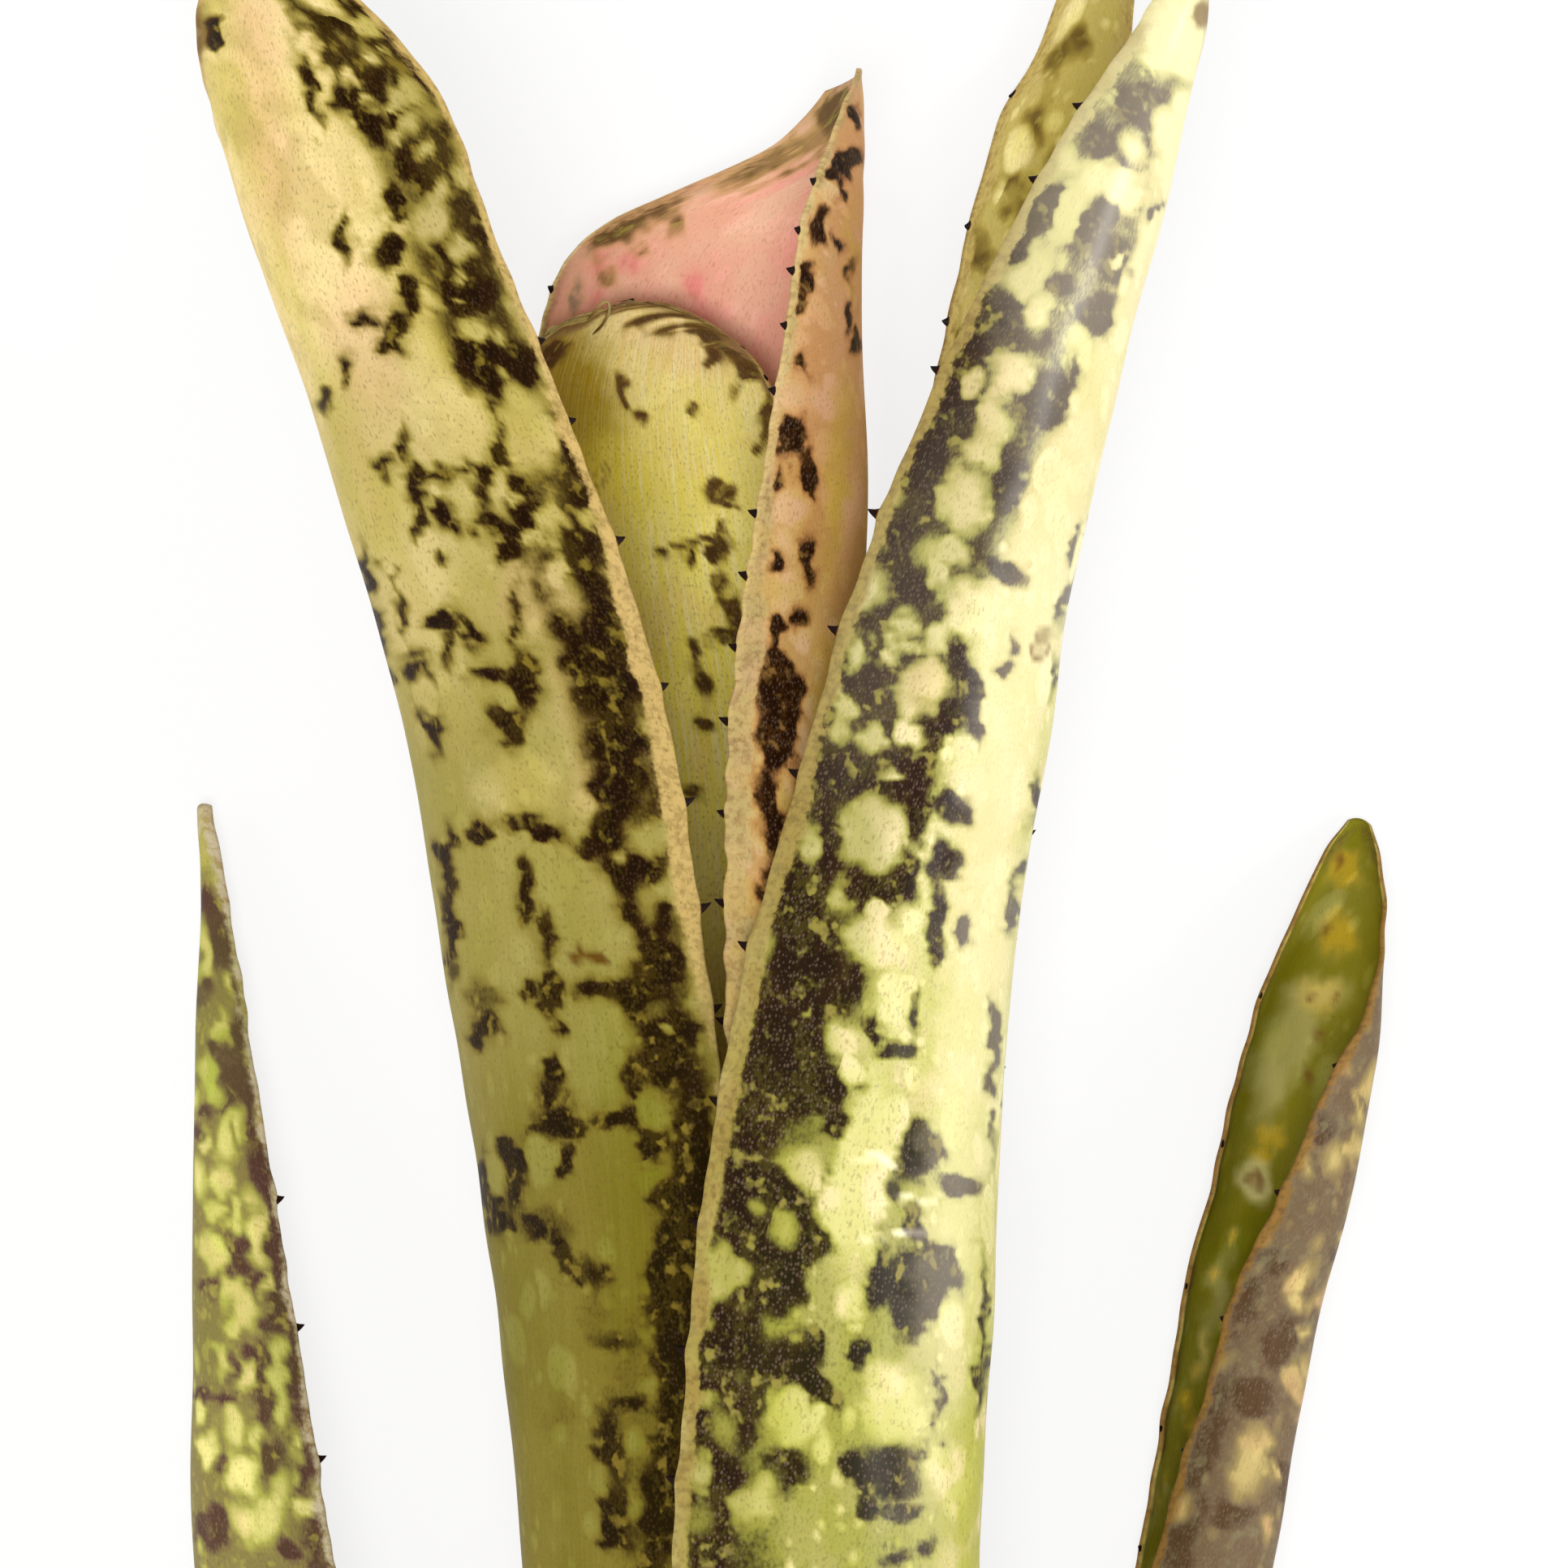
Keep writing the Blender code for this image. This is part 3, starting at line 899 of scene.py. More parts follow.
@dataclass(frozen=True)
class Teeth:
    """The small hooked teeth along a margin."""

    base: float = 2.4
    thick: float = 0.68
    hook: float = 0.5
    pitch: float = 15.5
    stray: float = 1.6
    bare_foot: float = 20.0
    sink: float = 0.4
    rings: int = 8
    sides: int = 10

    def heights(self, listed: tuple[float, ...], foot: float) -> list[float]:
        """Carry the listed teeth on towards the foot of the leaf.

        Args:
            listed: Heights of the teeth that are listed one by one.
            foot: The height of the leaf's foot.

        Returns:
            The heights of all teeth on the margin.
        """
        if not listed:
            return []
        more = np.arange(min(listed) - self.pitch, foot + self.bare_foot, -self.pitch)
        wobble = ripple(more[:, None], 9.0, 5) * self.stray if len(more) else more
        return list(listed) + list(more + wobble)

    def add(self, stock: Stock, root: np.ndarray, frame: np.ndarray, length: float) -> None:
        """Add one tooth.

        Args:
            stock: The leaf's mesh.
            root: The point of the margin that it stands on.
            frame: Directions outward, towards the tip, and off the face.
            length: How far it stands out.
        """
        out, up, face = frame
        t = np.linspace(0, 1, self.rings)
        reach = -self.sink + (length + self.sink) * t
        lift = -0.16 * self.base + length * self.hook * t**1.8
        half_wide = 0.5 * self.base * (1 - t) ** 0.95 * (1 - 0.22 * np.sin(math.pi * t))
        half_thick = 0.5 * self.thick * (1 - t) ** 0.7 * (0.6 + 0.4 * ease(0, 0.35, t))
        turn = np.linspace(0, math.tau, self.sides, endpoint=False)
        rings = []
        for k in range(self.rings - 1):
            centre = root + out * reach[k] + up * lift[k]
            ring = centre + np.outer(np.cos(turn), up) * half_wide[k]
            rings.append(ring + np.outer(np.sin(turn), face) * half_thick[k])
        tip = root + out * reach[-1] + up * lift[-1]
        points = np.concatenate([*rings, tip[None]])
        s = self.sides
        faces = [tuple(reversed(range(s))), *ring_faces(self.rings - 1, s)]
        last = (self.rings - 2) * s
        faces += [(last + i, last + (i + 1) % s, len(points) - 1) for i in range(s)]
        rise = np.concatenate([np.repeat(t[:-1], s), [1.0]])
        turns = np.concatenate([np.tile(np.sin(turn), self.rings - 1), [0.0]])
        values = np.stack([rise, turns, rise * 0], -1)
        stock.add(points, faces, 2, {"edges": values})


@dataclass(frozen=True)
class DriedCurl:
    """A scrap of dried margin, curled up into an open loop."""

    place: tuple[float, float] = (-19.4, 153.6)
    # (x, y, height) of the scrap's run, from the place on the leaf
    run: Rows = (
        (-2.2, -0.7, 0.1),
        (-1.0, 0.0, 0.3),
        (0.3, 1.0, 0.7),
        (1.3, 2.3, 1.0),
        (2.1, 2.6, 1.2),
        (2.4, 1.6, 1.1),
        (1.9, 0.3, 0.8),
        (1.0, -0.9, 0.4),
        (0.1, -1.5, 0.0),
    )
    half_wide: float = 0.5
    half_thick: float = 0.14
    sides: int = 10

    def add(self, stock: Stock, sheet: Sheet) -> None:
        """Stand the scrap on a leaf.

        Args:
            stock: The leaf's mesh.
            sheet: The leaf's sheet.
        """
        seen = sheet.seen_from_above() - self.place
        spot = np.unravel_index(np.hypot(seen[..., 0], seen[..., 1]).argmin(), seen.shape[:2])
        path = np.array(self.run)
        for _ in range(3):
            near, far = path[:-1] * 0.75 + path[1:] * 0.25, path[:-1] * 0.25 + path[1:] * 0.75
            path = np.concatenate([path[:1], np.stack([near, far], 1).reshape(-1, 3), path[-1:]])
        path += sheet.points[spot]
        ahead = np.gradient(path, axis=0)
        ahead /= np.linalg.norm(ahead, axis=1, keepdims=True)
        flat = np.cross(ahead, np.array((0.3, -0.2, 1.0)))
        flat /= np.linalg.norm(flat, axis=1, keepdims=True)
        wide = np.cross(flat, ahead)
        share = np.linspace(0, 1, len(path))
        size = (0.55 + 0.45 * np.sin(math.pi * share) ** 0.6)[:, None, None]
        turn = np.linspace(0, math.tau, self.sides, endpoint=False)[None, :, None]
        round_it = np.cos(turn) * wide[:, None] * self.half_wide
        round_it = round_it + np.sin(turn) * flat[:, None] * self.half_thick
        points = (path[:, None] + round_it * size).reshape(-1, 3)
        s, count = self.sides, len(path)
        faces = ring_faces(count, s)
        faces += [tuple(reversed(range(s))), tuple((count - 1) * s + i for i in range(s))]
        dry = np.zeros((len(points), 3))
        dry[:, 0] = np.repeat(0.75 + 0.25 * np.sin(share * 9), s)
        pale = np.full((len(points), 3), (-0.6, 0.0, 0.0))
        margin = np.full((len(points), 3), 9.0)
        values = {"edges": margin, "paint": pale, "touch": dry, "sheet": points[:, (0, 1, 0)]}
        stock.add(points, faces, 1, values)


@dataclass
class Leaf:
    """One leaf: its form, its two skins and the marks on them."""

    form: LeafForm
    outer: Skin
    inner: Skin
    outer_paint: Paint = field(default_factory=Paint)
    inner_paint: Paint = field(default_factory=Paint)
    teeth: Teeth = field(default_factory=Teeth)
    curls: tuple[DriedCurl, ...] = ()
    seed: int = 1

    RIM_ANGLES = (45.0, 0.0, -45.0)
    # Where a face turns from hidden to seen, as its lean towards the camera.
    SEEN = (-0.12, 0.05)
    # Waves over the blade: their length, and the height of the short ones.
    LONG_WAVE = 42.0
    SHORT_WAVE = 17.0
    SHORT_HEIGHT = 0.09
    # The margin's soft strip, its lift, and how it weaves in and out.
    MARGIN_REACH = 1.6
    MARGIN_LIFT = 0.14
    MARGIN_SWING = 0.12
    MARGIN_JOG = 0.11
    # The swelling under a tooth, and the bead along the margin.
    TOOTH_SWELL = 0.26
    BEAD = 0.16

    def build(self, tooth_material: bpy.types.Material) -> bpy.types.Object:
        """Build the leaf and its teeth as one mesh and dress it.

        Args:
            tooth_material: The finish of the teeth.

        Returns:
            The leaf.
        """
        sheet = Sheet(self.form)
        teeth = self._tooth_rows(sheet)
        self._shape(sheet, teeth)
        stock = Stock(self.form.name + "_blade")
        self._add_shell(stock, sheet)
        self._add_teeth(stock, sheet, teeth)
        for curl in self.curls:
            curl.add(stock, sheet)
        materials = (self.outer.material(), self.inner.material(), tooth_material)
        obj = stock.build(materials)
        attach(obj, "root")
        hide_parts(self.form.name)
        log.info("%s: %d faces, %d teeth", obj.name, len(obj.data.polygons), len(teeth))
        return obj

    def _tooth_rows(self, sheet: Sheet) -> list[tuple[int, int]]:
        """Find where the teeth stand.

        Args:
            sheet: The leaf's sheet.

        Returns:
            The row of each tooth, with the column of its margin.
        """
        found = []
        sides = ((0, self.form.first_teeth), (-1, self.form.second_teeth))
        for column, listed in sides:
            margin = sheet.points[:, column, 1]
            for height in self.teeth.heights(listed, margin[0]):
                found.append((int(np.abs(margin - height).argmin()), column))
        return found

    def _shape(self, sheet: Sheet, teeth: list[tuple[int, int]]) -> None:
        """Give the sheet its waves, a wavy margin and a small swelling under each tooth.

        Args:
            sheet: The leaf's sheet.
            teeth: The row and column of each tooth.
        """
        points = sheet.points
        spread = np.stack([sheet.across, sheet.along], -1)
        free = ease(10.0, 70.0, points[..., 1])
        wave = ripple(spread, self.LONG_WAVE, self.seed) * self.form.sway * free
        wave += ripple(spread, self.SHORT_WAVE, self.seed + 1) * self.SHORT_HEIGHT
        near = np.exp(-((sheet.edge / self.MARGIN_REACH) ** 2))
        swing = self.MARGIN_SWING * ripple(spread, 9.0, self.seed + 2)
        lift = near * (self.MARGIN_LIFT + swing)
        lift *= ease(-40, 10, points[..., 1])
        outward = np.where(sheet.first < sheet.second, -1.0, 1.0)
        jog = near * self.MARGIN_JOG * ripple(spread, 6.0, self.seed + 3)
        for row, column in teeth:
            side = sheet.first if column == 0 else sheet.second
            gap = np.abs(sheet.along - sheet.along[row, 0])
            jog += self.TOOTH_SWELL * np.exp(-((gap / 1.7) ** 2) - (side / 1.4) ** 2)
        points += sheet.normal * (wave + lift)[..., None]
        points += sheet.sideways * (outward * jog)[..., None]

    def _add_shell(self, stock: Stock, sheet: Sheet) -> None:
        """Add the closed shell: outer face, rounded margin, inner face, rounded margin.

        Args:
            stock: The leaf's mesh.
            sheet: The leaf's sheet.
        """
        taper = 1 - (1 - TIP_SHARE) * sheet.share
        body = MARGIN_SHARE + (1 - MARGIN_SHARE) * ease(0.2, 4.0, sheet.edge)
        bead = self.BEAD * np.exp(-((sheet.edge / 0.8) ** 2))
        half = (SHEET_THICKNESS * taper * (body + bead) / 2)[..., None]
        outer = sheet.points + sheet.normal * half
        inner = sheet.points - sheet.normal * half
        rims = []
        for column, way in ((-1, 1.0), (0, -1.0)):
            middle, radius = sheet.points[:, column], half[:, column]
            out, face = sheet.sideways[:, column] * way, sheet.normal[:, column]
            angles = self.RIM_ANGLES if way > 0 else reversed(self.RIM_ANGLES)
            for angle in angles:
                turn = math.radians(angle)
                rims.append(middle + radius * (math.cos(turn) * out + math.sin(turn) * face))
        right, left = np.stack(rims[:3], 1), np.stack(rims[3:], 1)
        loops = np.concatenate([outer, right, inner[:, ::-1], left], axis=1)
        loops[..., 2] = np.maximum(loops[..., 2], FLOOR_DEPTH + LEAF_CLEARANCE)
        rows, columns = sheet.across.shape
        order = [*range(columns), -1, -1, -1, *range(columns - 1, -1, -1), 0, 0, 0]
        size = len(order)
        faces = ring_faces(rows, size)
        face_side = np.zeros(size, int)
        face_side[columns + 3 : 2 * columns + 2] = 1
        slots = np.tile(face_side, rows - 1).tolist()
        for r, flip in ((0, True), (rows - 1, False)):
            caps = self._cap(r * size, columns)
            faces += [tuple(reversed(f)) for f in caps] if flip else caps
            slots += [0] * len(caps)
        values = self._attributes(sheet, order, columns)
        stock.add(loops.reshape(-1, 3), faces, slots, values)

    @staticmethod
    def _cap(start: int, columns: int) -> list[tuple[int, ...]]:
        """List the faces that close one end of the shell.

        Args:
            start: The first point of the shell's loop there.
            columns: How many columns the sheet has.

        Returns:
            The faces.
        """
        size = 2 * columns + 6
        back = 2 * columns + 2
        faces = [
            (start + c, start + c + 1, start + back - c - 1, start + back - c)
            for c in range(columns - 1)
        ]
        faces.append(tuple(start + columns - 1 + k for k in range(5)))
        faces.append((start, start + back, start + back + 1, start + back + 2, start + size - 1))
        return faces

    def _attributes(self, sheet: Sheet, order: list[int], columns: int) -> dict[str, np.ndarray]:
        """Work out the shell's attributes.

        Args:
            sheet: The leaf's sheet.
            order: The sheet's column behind each point of a loop.
            columns: How many columns the sheet has.

        Returns:
            Each attribute's values, loop after loop.
        """
        up = sheet.normal[..., 2]
        outer = self.outer_paint.lay(sheet, ease(*self.SEEN, up), self.seed * 10)
        inner = self.inner_paint.lay(sheet, ease(*self.SEEN, -up), self.seed * 10 + 5)
        place = np.stack([sheet.across, sheet.along, sheet.grain], -1)
        on_inner = np.zeros(len(order), bool)
        on_inner[columns + 2 : 2 * columns + 4] = True
        values = {"sheet": place[:, order].reshape(-1, 3)}
        for name in ("paint", "touch", "edges"):
            both = np.where(on_inner[None, :, None], inner[name][:, order], outer[name][:, order])
            values[name] = both.reshape(-1, 3)
        return values

    def _add_teeth(self, stock: Stock, sheet: Sheet, teeth: list[tuple[int, int]]) -> None:
        """Stand the teeth on the margins.

        Args:
            stock: The leaf's mesh.
            sheet: The leaf's sheet.
            teeth: The row and column of each tooth.
        """
        sizes = 0.85 + 0.3 * np.random.default_rng(self.seed).random(len(teeth))
        for (row, column), size in zip(teeth, sizes):
            out = sheet.sideways[row, column] * (1 if column else -1)
            frame = np.stack([out, sheet.toward_tip[row, column], sheet.normal[row, column]])
            root, length = sheet.points[row, column], self.form.tooth_length * size
            if root[2] + out[2] * length > FLOOR_DEPTH + TOOTH_CLEARANCE:
                self.teeth.add(stock, root, frame, length)


FRONT_RIGHT = LeafForm(
    name="front_right_leaf",
    ring=2,
    surface=(
        (0, 0.8, 0.0, 27.0), (24, 2.1, 0.5, 26.9), (45, 3.7, 1.4, 26.3), (71, 7.1, 3.0, 24.5),
        (98, 13.4, 5.0, 22.3), (122, 19.7, 7.5, 19.5), (144, 27.7, 10.0, 16.8),
        (162, 35.2, 12.5, 13.8), (174, 40.9, 14.5, 11.3), (187, 47.7, 16.5, 7.4),
        (198, 53.2, 18.0, 4.2),
    ),
    rows=(
        (-95, -143, 125, -143, 0), (-95, BULB_TOP, 125, BULB_TOP, 0), (-86, -58, 118, -58, 0),
        (-76, 0, 110.6, 0, 0), (-72, 45, 110, 45, 0), (-68, 84, 108.5, 84, 1),
        (-62, 121, 108, 122, 2), (-56, 143, 108, 145, 2), (-48, 160, 107, 162, 2),
        (-38, 172, 106, 175, 2), (-20, 182, 101, 186.5, 1.5), (15, 190, 96, 193, 1),
        (55, 196.5, 85, 197.5, 0.2),
    ),
    first_teeth=(172.0, 160.0, 147.0, 133.0, 118.0, 102.0),
    second_teeth=(178.5, 169.6, 146.5, 129.4, 115.5, 98.3, 77.5, 58.2, 43.7, 28.1, 12.8),
    fine_from=0.36,
)

FRONT_LEFT = LeafForm(
    name="front_left_leaf",
    ring=3,
    surface=(
        (0, -2.0, -0.8, 25.3), (29, -4.9, -0.8, 25.3), (58, -9.0, -0.9, 25.5),
        (76, -12.4, 0.0, 25.0), (98, -16.9, 1.5, 24.0), (122, -24.2, 4.0, 22.6),
        (144, -33.0, 6.5, 20.8), (161, -40.6, 9.0, 19.0), (176, -46.6, 11.5, 17.4),
        (184, -49.6, 12.6, 17.0), (193, -52.6, 13.5, 14.8), (205, -55.8, 14.5, 11.5),
    ),
    rows=(
        (78, -139.5, 262, -139.5, 0), (80, BULB_TOP, 262, BULB_TOP, 0), (86, -58, 246, -58, 0),
        (88, 0, 230, 0, 0), (84, 29, 223, 29, 0), (77.5, 58, 220, 56, 0), (70.5, 98, 218, 94, 2),
        (66.2, 122.5, 216, 117, 4), (63, 144.5, 212, 140, 5), (57, 161, 204, 157, 5),
        (51, 177, 191, 172, 5), (60, 185, 179, 180, 5), (76, 193, 163, 190, 4),
        (97, 199.5, 144, 198, 2),
    ),
    first_teeth=(150.2, 140.9, 126.2, 108.5, 94.6, 81.5, 69.4, 58.2, 44.0, 29.0, 12.0),
    second_teeth=(168.0, 154.0, 139.0, 124.0, 108.0),
    fine_to=0.74,
)

PINK_BACK = LeafForm(
    name="pink_back_leaf",
    ring=4,
    surface=(
        (0, -0.6, -0.8, 23.0), (30, -1.2, -0.8, 22.7), (60, -2.2, -0.8, 22.3),
        (82, -4.5, -0.8, 21.8), (107, -7.2, -0.9, 21.5), (130, -7.7, -1.0, 21.5),
        (186, -7.7, -1.0, 21.5),
    ),
    rows=(
        (-190, -136, 75, -136, 0), (-190, BULB_TOP, 80, BULB_TOP, 0), (-180, -58, 92, -58, 0),
        (-172, 0, 95, 0, 0), (-168, 34, 93, 34, 0), (-165, 66, 90, 62, 0), (-162, 96, 82, 90, 0),
        (-158, 122, 73, 113, 0), (-153, 141, 65.5, 130, 1), (-146, 153, 58.9, 144, 3),
        (-135, 161.5, 53.5, 154, 4), (-117, 167, 48.3, 164.6, 3), (-88, 172, 38.2, 173.2, 1),
        (-58, 177, 25.5, 180.2, 0.5), (-36, 183, 9, 184.6, 0.3),
    ),
    first_teeth=(158.5, 149.0, 138.0),
    second_teeth=(
        170.0, 164.6, 159.2, 152.8, 144.7, 129.4, 122.2, 113.3, 104.2, 93.2, 82.2, 68.4,
    ),
    tooth_length=1.4,
    fine_step=0.85,
    fine_above=40.0,
)

INNER = LeafForm(
    name="inner_leaf",
    ring=5,
    surface=(
        (0, -0.6, -0.8, 21.0), (30, -1.3, -0.7, 20.5), (60, -2.6, -0.5, 20.0),
        (100, -5.2, -0.3, 18.8), (130, -9.0, 0.4, 17.5), (150, -11.0, 1.0, 16.5),
        (158, -11.0, 1.4, 16.5),
    ),
    rows=(
        (-235, -132.5, 20, -132.5, 0), (-235, BULB_TOP, 20, BULB_TOP, 0), (-228, -58, 12, -58, 0),
        (-222, 0, 5, 0, 0), (-217, 50, -4, 50, 1), (-212, 95, -14, 95, 3), (-204, 124, -24, 124, 5),
        (-192, 140, -28, 136, 6), (-174, 147.5, -34, 144.5, 6), (-158, 151, -44, 148.8, 5),
        (-146, 152.6, -58, 152, 3.6), (-137, 153.6, -74, 154.9, 2), (-130, 153.9, -90, 156.6, 0.9),
        (-125, 154.2, -106, 156.8, 0.2),
    ),
    first_teeth=(153.6, 147.0, 136.0, 122.0),
    second_teeth=(157.1, 151.5, 147.7, 138.0, 127.0),
    tooth_length=1.0,
    fine_above=60.0,
)

HEART = LeafForm(
    name="heart_leaf",
    ring=6,
    surface=(
        (0, -0.8, -0.8, 18.7), (22, -1.0, -0.8, 17.6), (42, -1.4, -0.8, 15.6),
    ),
    rows=(
        (-60, -129, 190, -129, 0), (-60, BULB_TOP, 190, BULB_TOP, 0), (-52, -58, 180, -58, 0),
        (-46, -14, 172, -14, 1), (-32, 8, 160, 8, 4), (-10, 22, 140, 22, 5), (20, 31, 112, 31, 4),
        (52, 37.5, 82, 37.5, 1),
    ),
    first_teeth=(18.0, 4.0),
    second_teeth=(18.0, 4.0),
    tooth_length=0.8,
    fine_step=1.6,
)

BACK_RIGHT = LeafForm(
    name="back_right_leaf",
    ring=1,
    surface=(
        (0, 0.0, 0.0, 29.1), (30, 2.6, -0.4, 28.9), (60, 7.0, -1.5, 27.9), (98, 16.0, -5.0, 24.5),
        (125, 25.0, -10.4, 19.0), (150, 34.0, -15.4, 14.0), (167, 37.5, -17.4, 12.0),
        (178, 39.5, -18.4, 11.0), (193, 43.0, -19.9, 9.5), (212, 47.5, -21.0, 8.4),
    ),
    rows=(
        (-178, -146.5, 10, -146.5, 0), (-175, BULB_TOP, 5, BULB_TOP, 0), (-150, -58, -12, -58, 0),
        (-128, 0, -22, 0, 0), (-121, 30, -28, 30, 0), (-115, 60, -33, 60, 0),
        (-110, 98, -38, 98, 1), (-113, 125, -40, 125, 2), (-121, 139, -41, 139, 3),
        (-134, 150, -42, 150, 3), (-143, 167, -45, 166, 4), (-141, 179, -48, 178, 4),
        (-127, 187, -53, 186, 4), (-118, 199, -62, 198, 3), (-103, 208.5, -80, 208.5, 1),
    ),
    first_teeth=(184.0, 167.7, 155.0, 141.0),
    second_teeth=(186.0, 170.0, 154.0, 138.0),
    fine_above=118.0,
)

OUTER_LEFT = LeafForm(
    name="outer_left_leaf",
    ring=0,
    surface=(
        (-133, 0.7, 0.0, 17.5), (-116, -2.6, -0.6, 23.2), (-103, -10.5, -2.2, 22.8),
        (-90, -19.4, -4.4, 21.8), (-60, -37.6, -10.4, 18.8), (-30, -48.6, -16.6, 16.2),
        (0, -55.4, -21.1, 13.8), (25, -59.4, -24.0, 10.1), (50, -62.8, -26.0, 6.7),
        (75, -65.6, -27.5, 3.7), (90, -67.4, -28.3, 1.7), (96, -68.0, -28.5, 1.1),
    ),
    rows=(
        (108, -150, 252, -150, 0), (108, -133, 252, -133, 0), (107, -112, 250, -112, 0),
        (101, -90, 245, -90, 0), (87, -60, 234, -60, 0), (77, -30, 224, -30, 0), (75, 0, 216, 0, 0),
        (72, 25, 215, 25, 1), (71, 50, 215, 49, 1), (74, 75, 215, 73, 1), (84, 88, 205, 87, 0.6),
        (100, 94, 175, 93.5, 0.3),
    ),
    first_teeth=(44.7, 29.1, 13.0, -3.0),
    second_teeth=(60.0, 40.0, 20.0, 2.0),
    tooth_length=1.3,
)

OUTER_RIGHT = LeafForm(
    name="outer_right_leaf",
    ring=0,
    surface=(
        (-133, 1.3, 0.0, 17.5), (-116, 4.6, -0.6, 23.2), (-103, 12.0, -2.4, 21.8),
        (-90, 20.0, -5.0, 19.6), (-60, 35.4, -11.5, 15.0), (-30, 48.4, -17.6, 11.4),
        (3, 57.3, -20.8, 8.6), (19, 60.4, -21.1, 8.3), (33, 63.2, -21.0, 8.4),
        (47, 67.0, -20.9, 8.5), (61, 69.9, -21.1, 8.2), (71, 72.0, -22.2, 7.2),
        (80, 74.2, -23.9, 5.3), (88, 76.0, -25.6, 3.4), (95, 77.4, -27.0, 1.8),
    ),
    rows=(
        (-78, -150, 78, -150, 0), (-78, -133, 76, -133, 0), (-78, -112, 71, -112, 0),
        (-84, -90, 68, -90, 0), (-97, -60, 88, -60, 0), (-122, -30, 108, -30, 0),
        (-150, 3, 130, 3, 0), (-160, 19, 117, 19, 0), (-166, 33, 108, 33, 0), (-170, 47, 90, 47, 0),
        (-173, 61, 70, 60, 1), (-175, 71, 38, 69, 2), (-172, 80, 14, 77, 2),
        (-155, 87.5, -12, 85.5, 1.5), (-118, 92, -58, 91.5, 0.5),
    ),
    first_teeth=(70.0, 52.0, 34.0, 16.0),
    second_teeth=(62.0, 46.0, 30.0, 14.0),
    tooth_length=0.9,
)


@dataclass(frozen=True)
class StemStub:
    """The short stem that the leaves grow from, cut straight across."""

    sides: int = 72
    rings: tuple[float, ...] = (-155.2, -153.6, -151.4)
    cut_radius: float = 9.3
    fibre_depth: float = 0.012

    def profile(self) -> list[tuple[float, float]]:
        """Draw the stem's outline from the middle of its cut to its top.

        Returns:
            The radius and height of each ring.
        """
        top = LOWEST_LEAF_BASE + BASE_STEP * HEART.ring
        top_radius = STEM_RADIUS - STEM_TAPER * (top - LOWEST_LEAF_BASE)
        cut = [(r, STEM_CUT_Y + 0.5 + 0.12 * math.sin(r * 2.6)) for r in np.linspace(0.3, 8.2, 14)]
        side = []
        for y in np.linspace(STEM_CUT_Y + 0.9, LOWEST_LEAF_BASE, 26):
            groove = sum(math.exp(-(((y - ring) / 0.28) ** 2)) for ring in self.rings)
            side.append((STEM_RADIUS + 0.15 - 0.35 * groove, y))
        edge = [(9.2, STEM_CUT_Y + 0.2), (9.9, STEM_CUT_Y + 0.1), (10.2, STEM_CUT_Y + 0.4)]
        crown = [
            (top_radius, top),
            (top_radius * 0.8, top + 4.0),
            (top_radius * 0.42, top + 7.0),
            (0.4, top + 8.1),
        ]
        return cut + edge + side + crown

    def material(self) -> bpy.types.Material:
        """Build the pale, fibrous stem's material.

        Returns:
            The material.
        """
        r = Recipe(bpy.data.materials.new("cut_stem"))
        across, along, out = r.split("sheet")
        cut = r.split("edges")[0]
        fibre = r.grain(r.place(across, along * 0.12), 0.5, 3.0)
        bundle = r.cells(r.place(across, along), 0.9, 0.05, 0.2)
        look = r.blend(fibre.rise(0.35, 0.65), tint(196, 176, 120), tint(228, 212, 164))
        look = r.blend(bundle.rise(0.1, -0.1) * cut, look, tint(150, 112, 62))
        look = r.blend(out.rise(8.6, 9.9) * cut * 0.7, look, tint(128, 92, 48))
        relief = fibre * 0.12 - bundle.rise(0.1, -0.1) * cut * 0.08
        bump = r.add("ShaderNodeBump", None, {"Distance": MM, "Height": relief})
        return r.finish(Base_Color=look, Roughness=0.62 + fibre * 0.2, Normal=bump)

    def build(self) -> bpy.types.Object:
        """Build the stem.

        Returns:
            The stem.
        """
        profile = self.profile()
        turn = np.linspace(0, math.tau, self.sides, endpoint=False)
        points, sheet, edges = [], [], []
        for radius, height in profile:
            places = np.stack([turn * 30, turn * 0 + height], -1)
            fibres = 1 + self.fibre_depth * ripple(places, 6.0, 11)
            x, z = radius * np.cos(turn) * fibres, radius * np.sin(turn) * fibres
            points.append(np.stack([x + TUBE_CENTRE_X, np.full_like(x, height), z], -1))
            cut = float(radius < self.cut_radius and height < LOWEST_LEAF_BASE)
            coordinates = (x, z) if cut else (turn * radius, np.full_like(x, height))
            sheet.append(np.stack([*coordinates, np.full_like(x, radius)], -1))
            edges.append(np.full((self.sides, 3), cut))
        s, last = self.sides, len(profile) - 1
        faces = [tuple(range(s)), tuple(reversed(range(last * s, last * s + s)))]
        faces += [(a, d, c, b) for a, b, c, d in ring_faces(len(profile), s)]
        stock = Stock("stem_stub_cut")
        values = {"sheet": np.concatenate(sheet), "edges": np.concatenate(edges)}
        stock.add(np.concatenate(points), faces, 0, values)
        obj = stock.build((self.material(),))
        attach(obj, "root")
        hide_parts("stem_stub")
        log.info("%s: %d faces", obj.name, len(obj.data.polygons))
        return obj


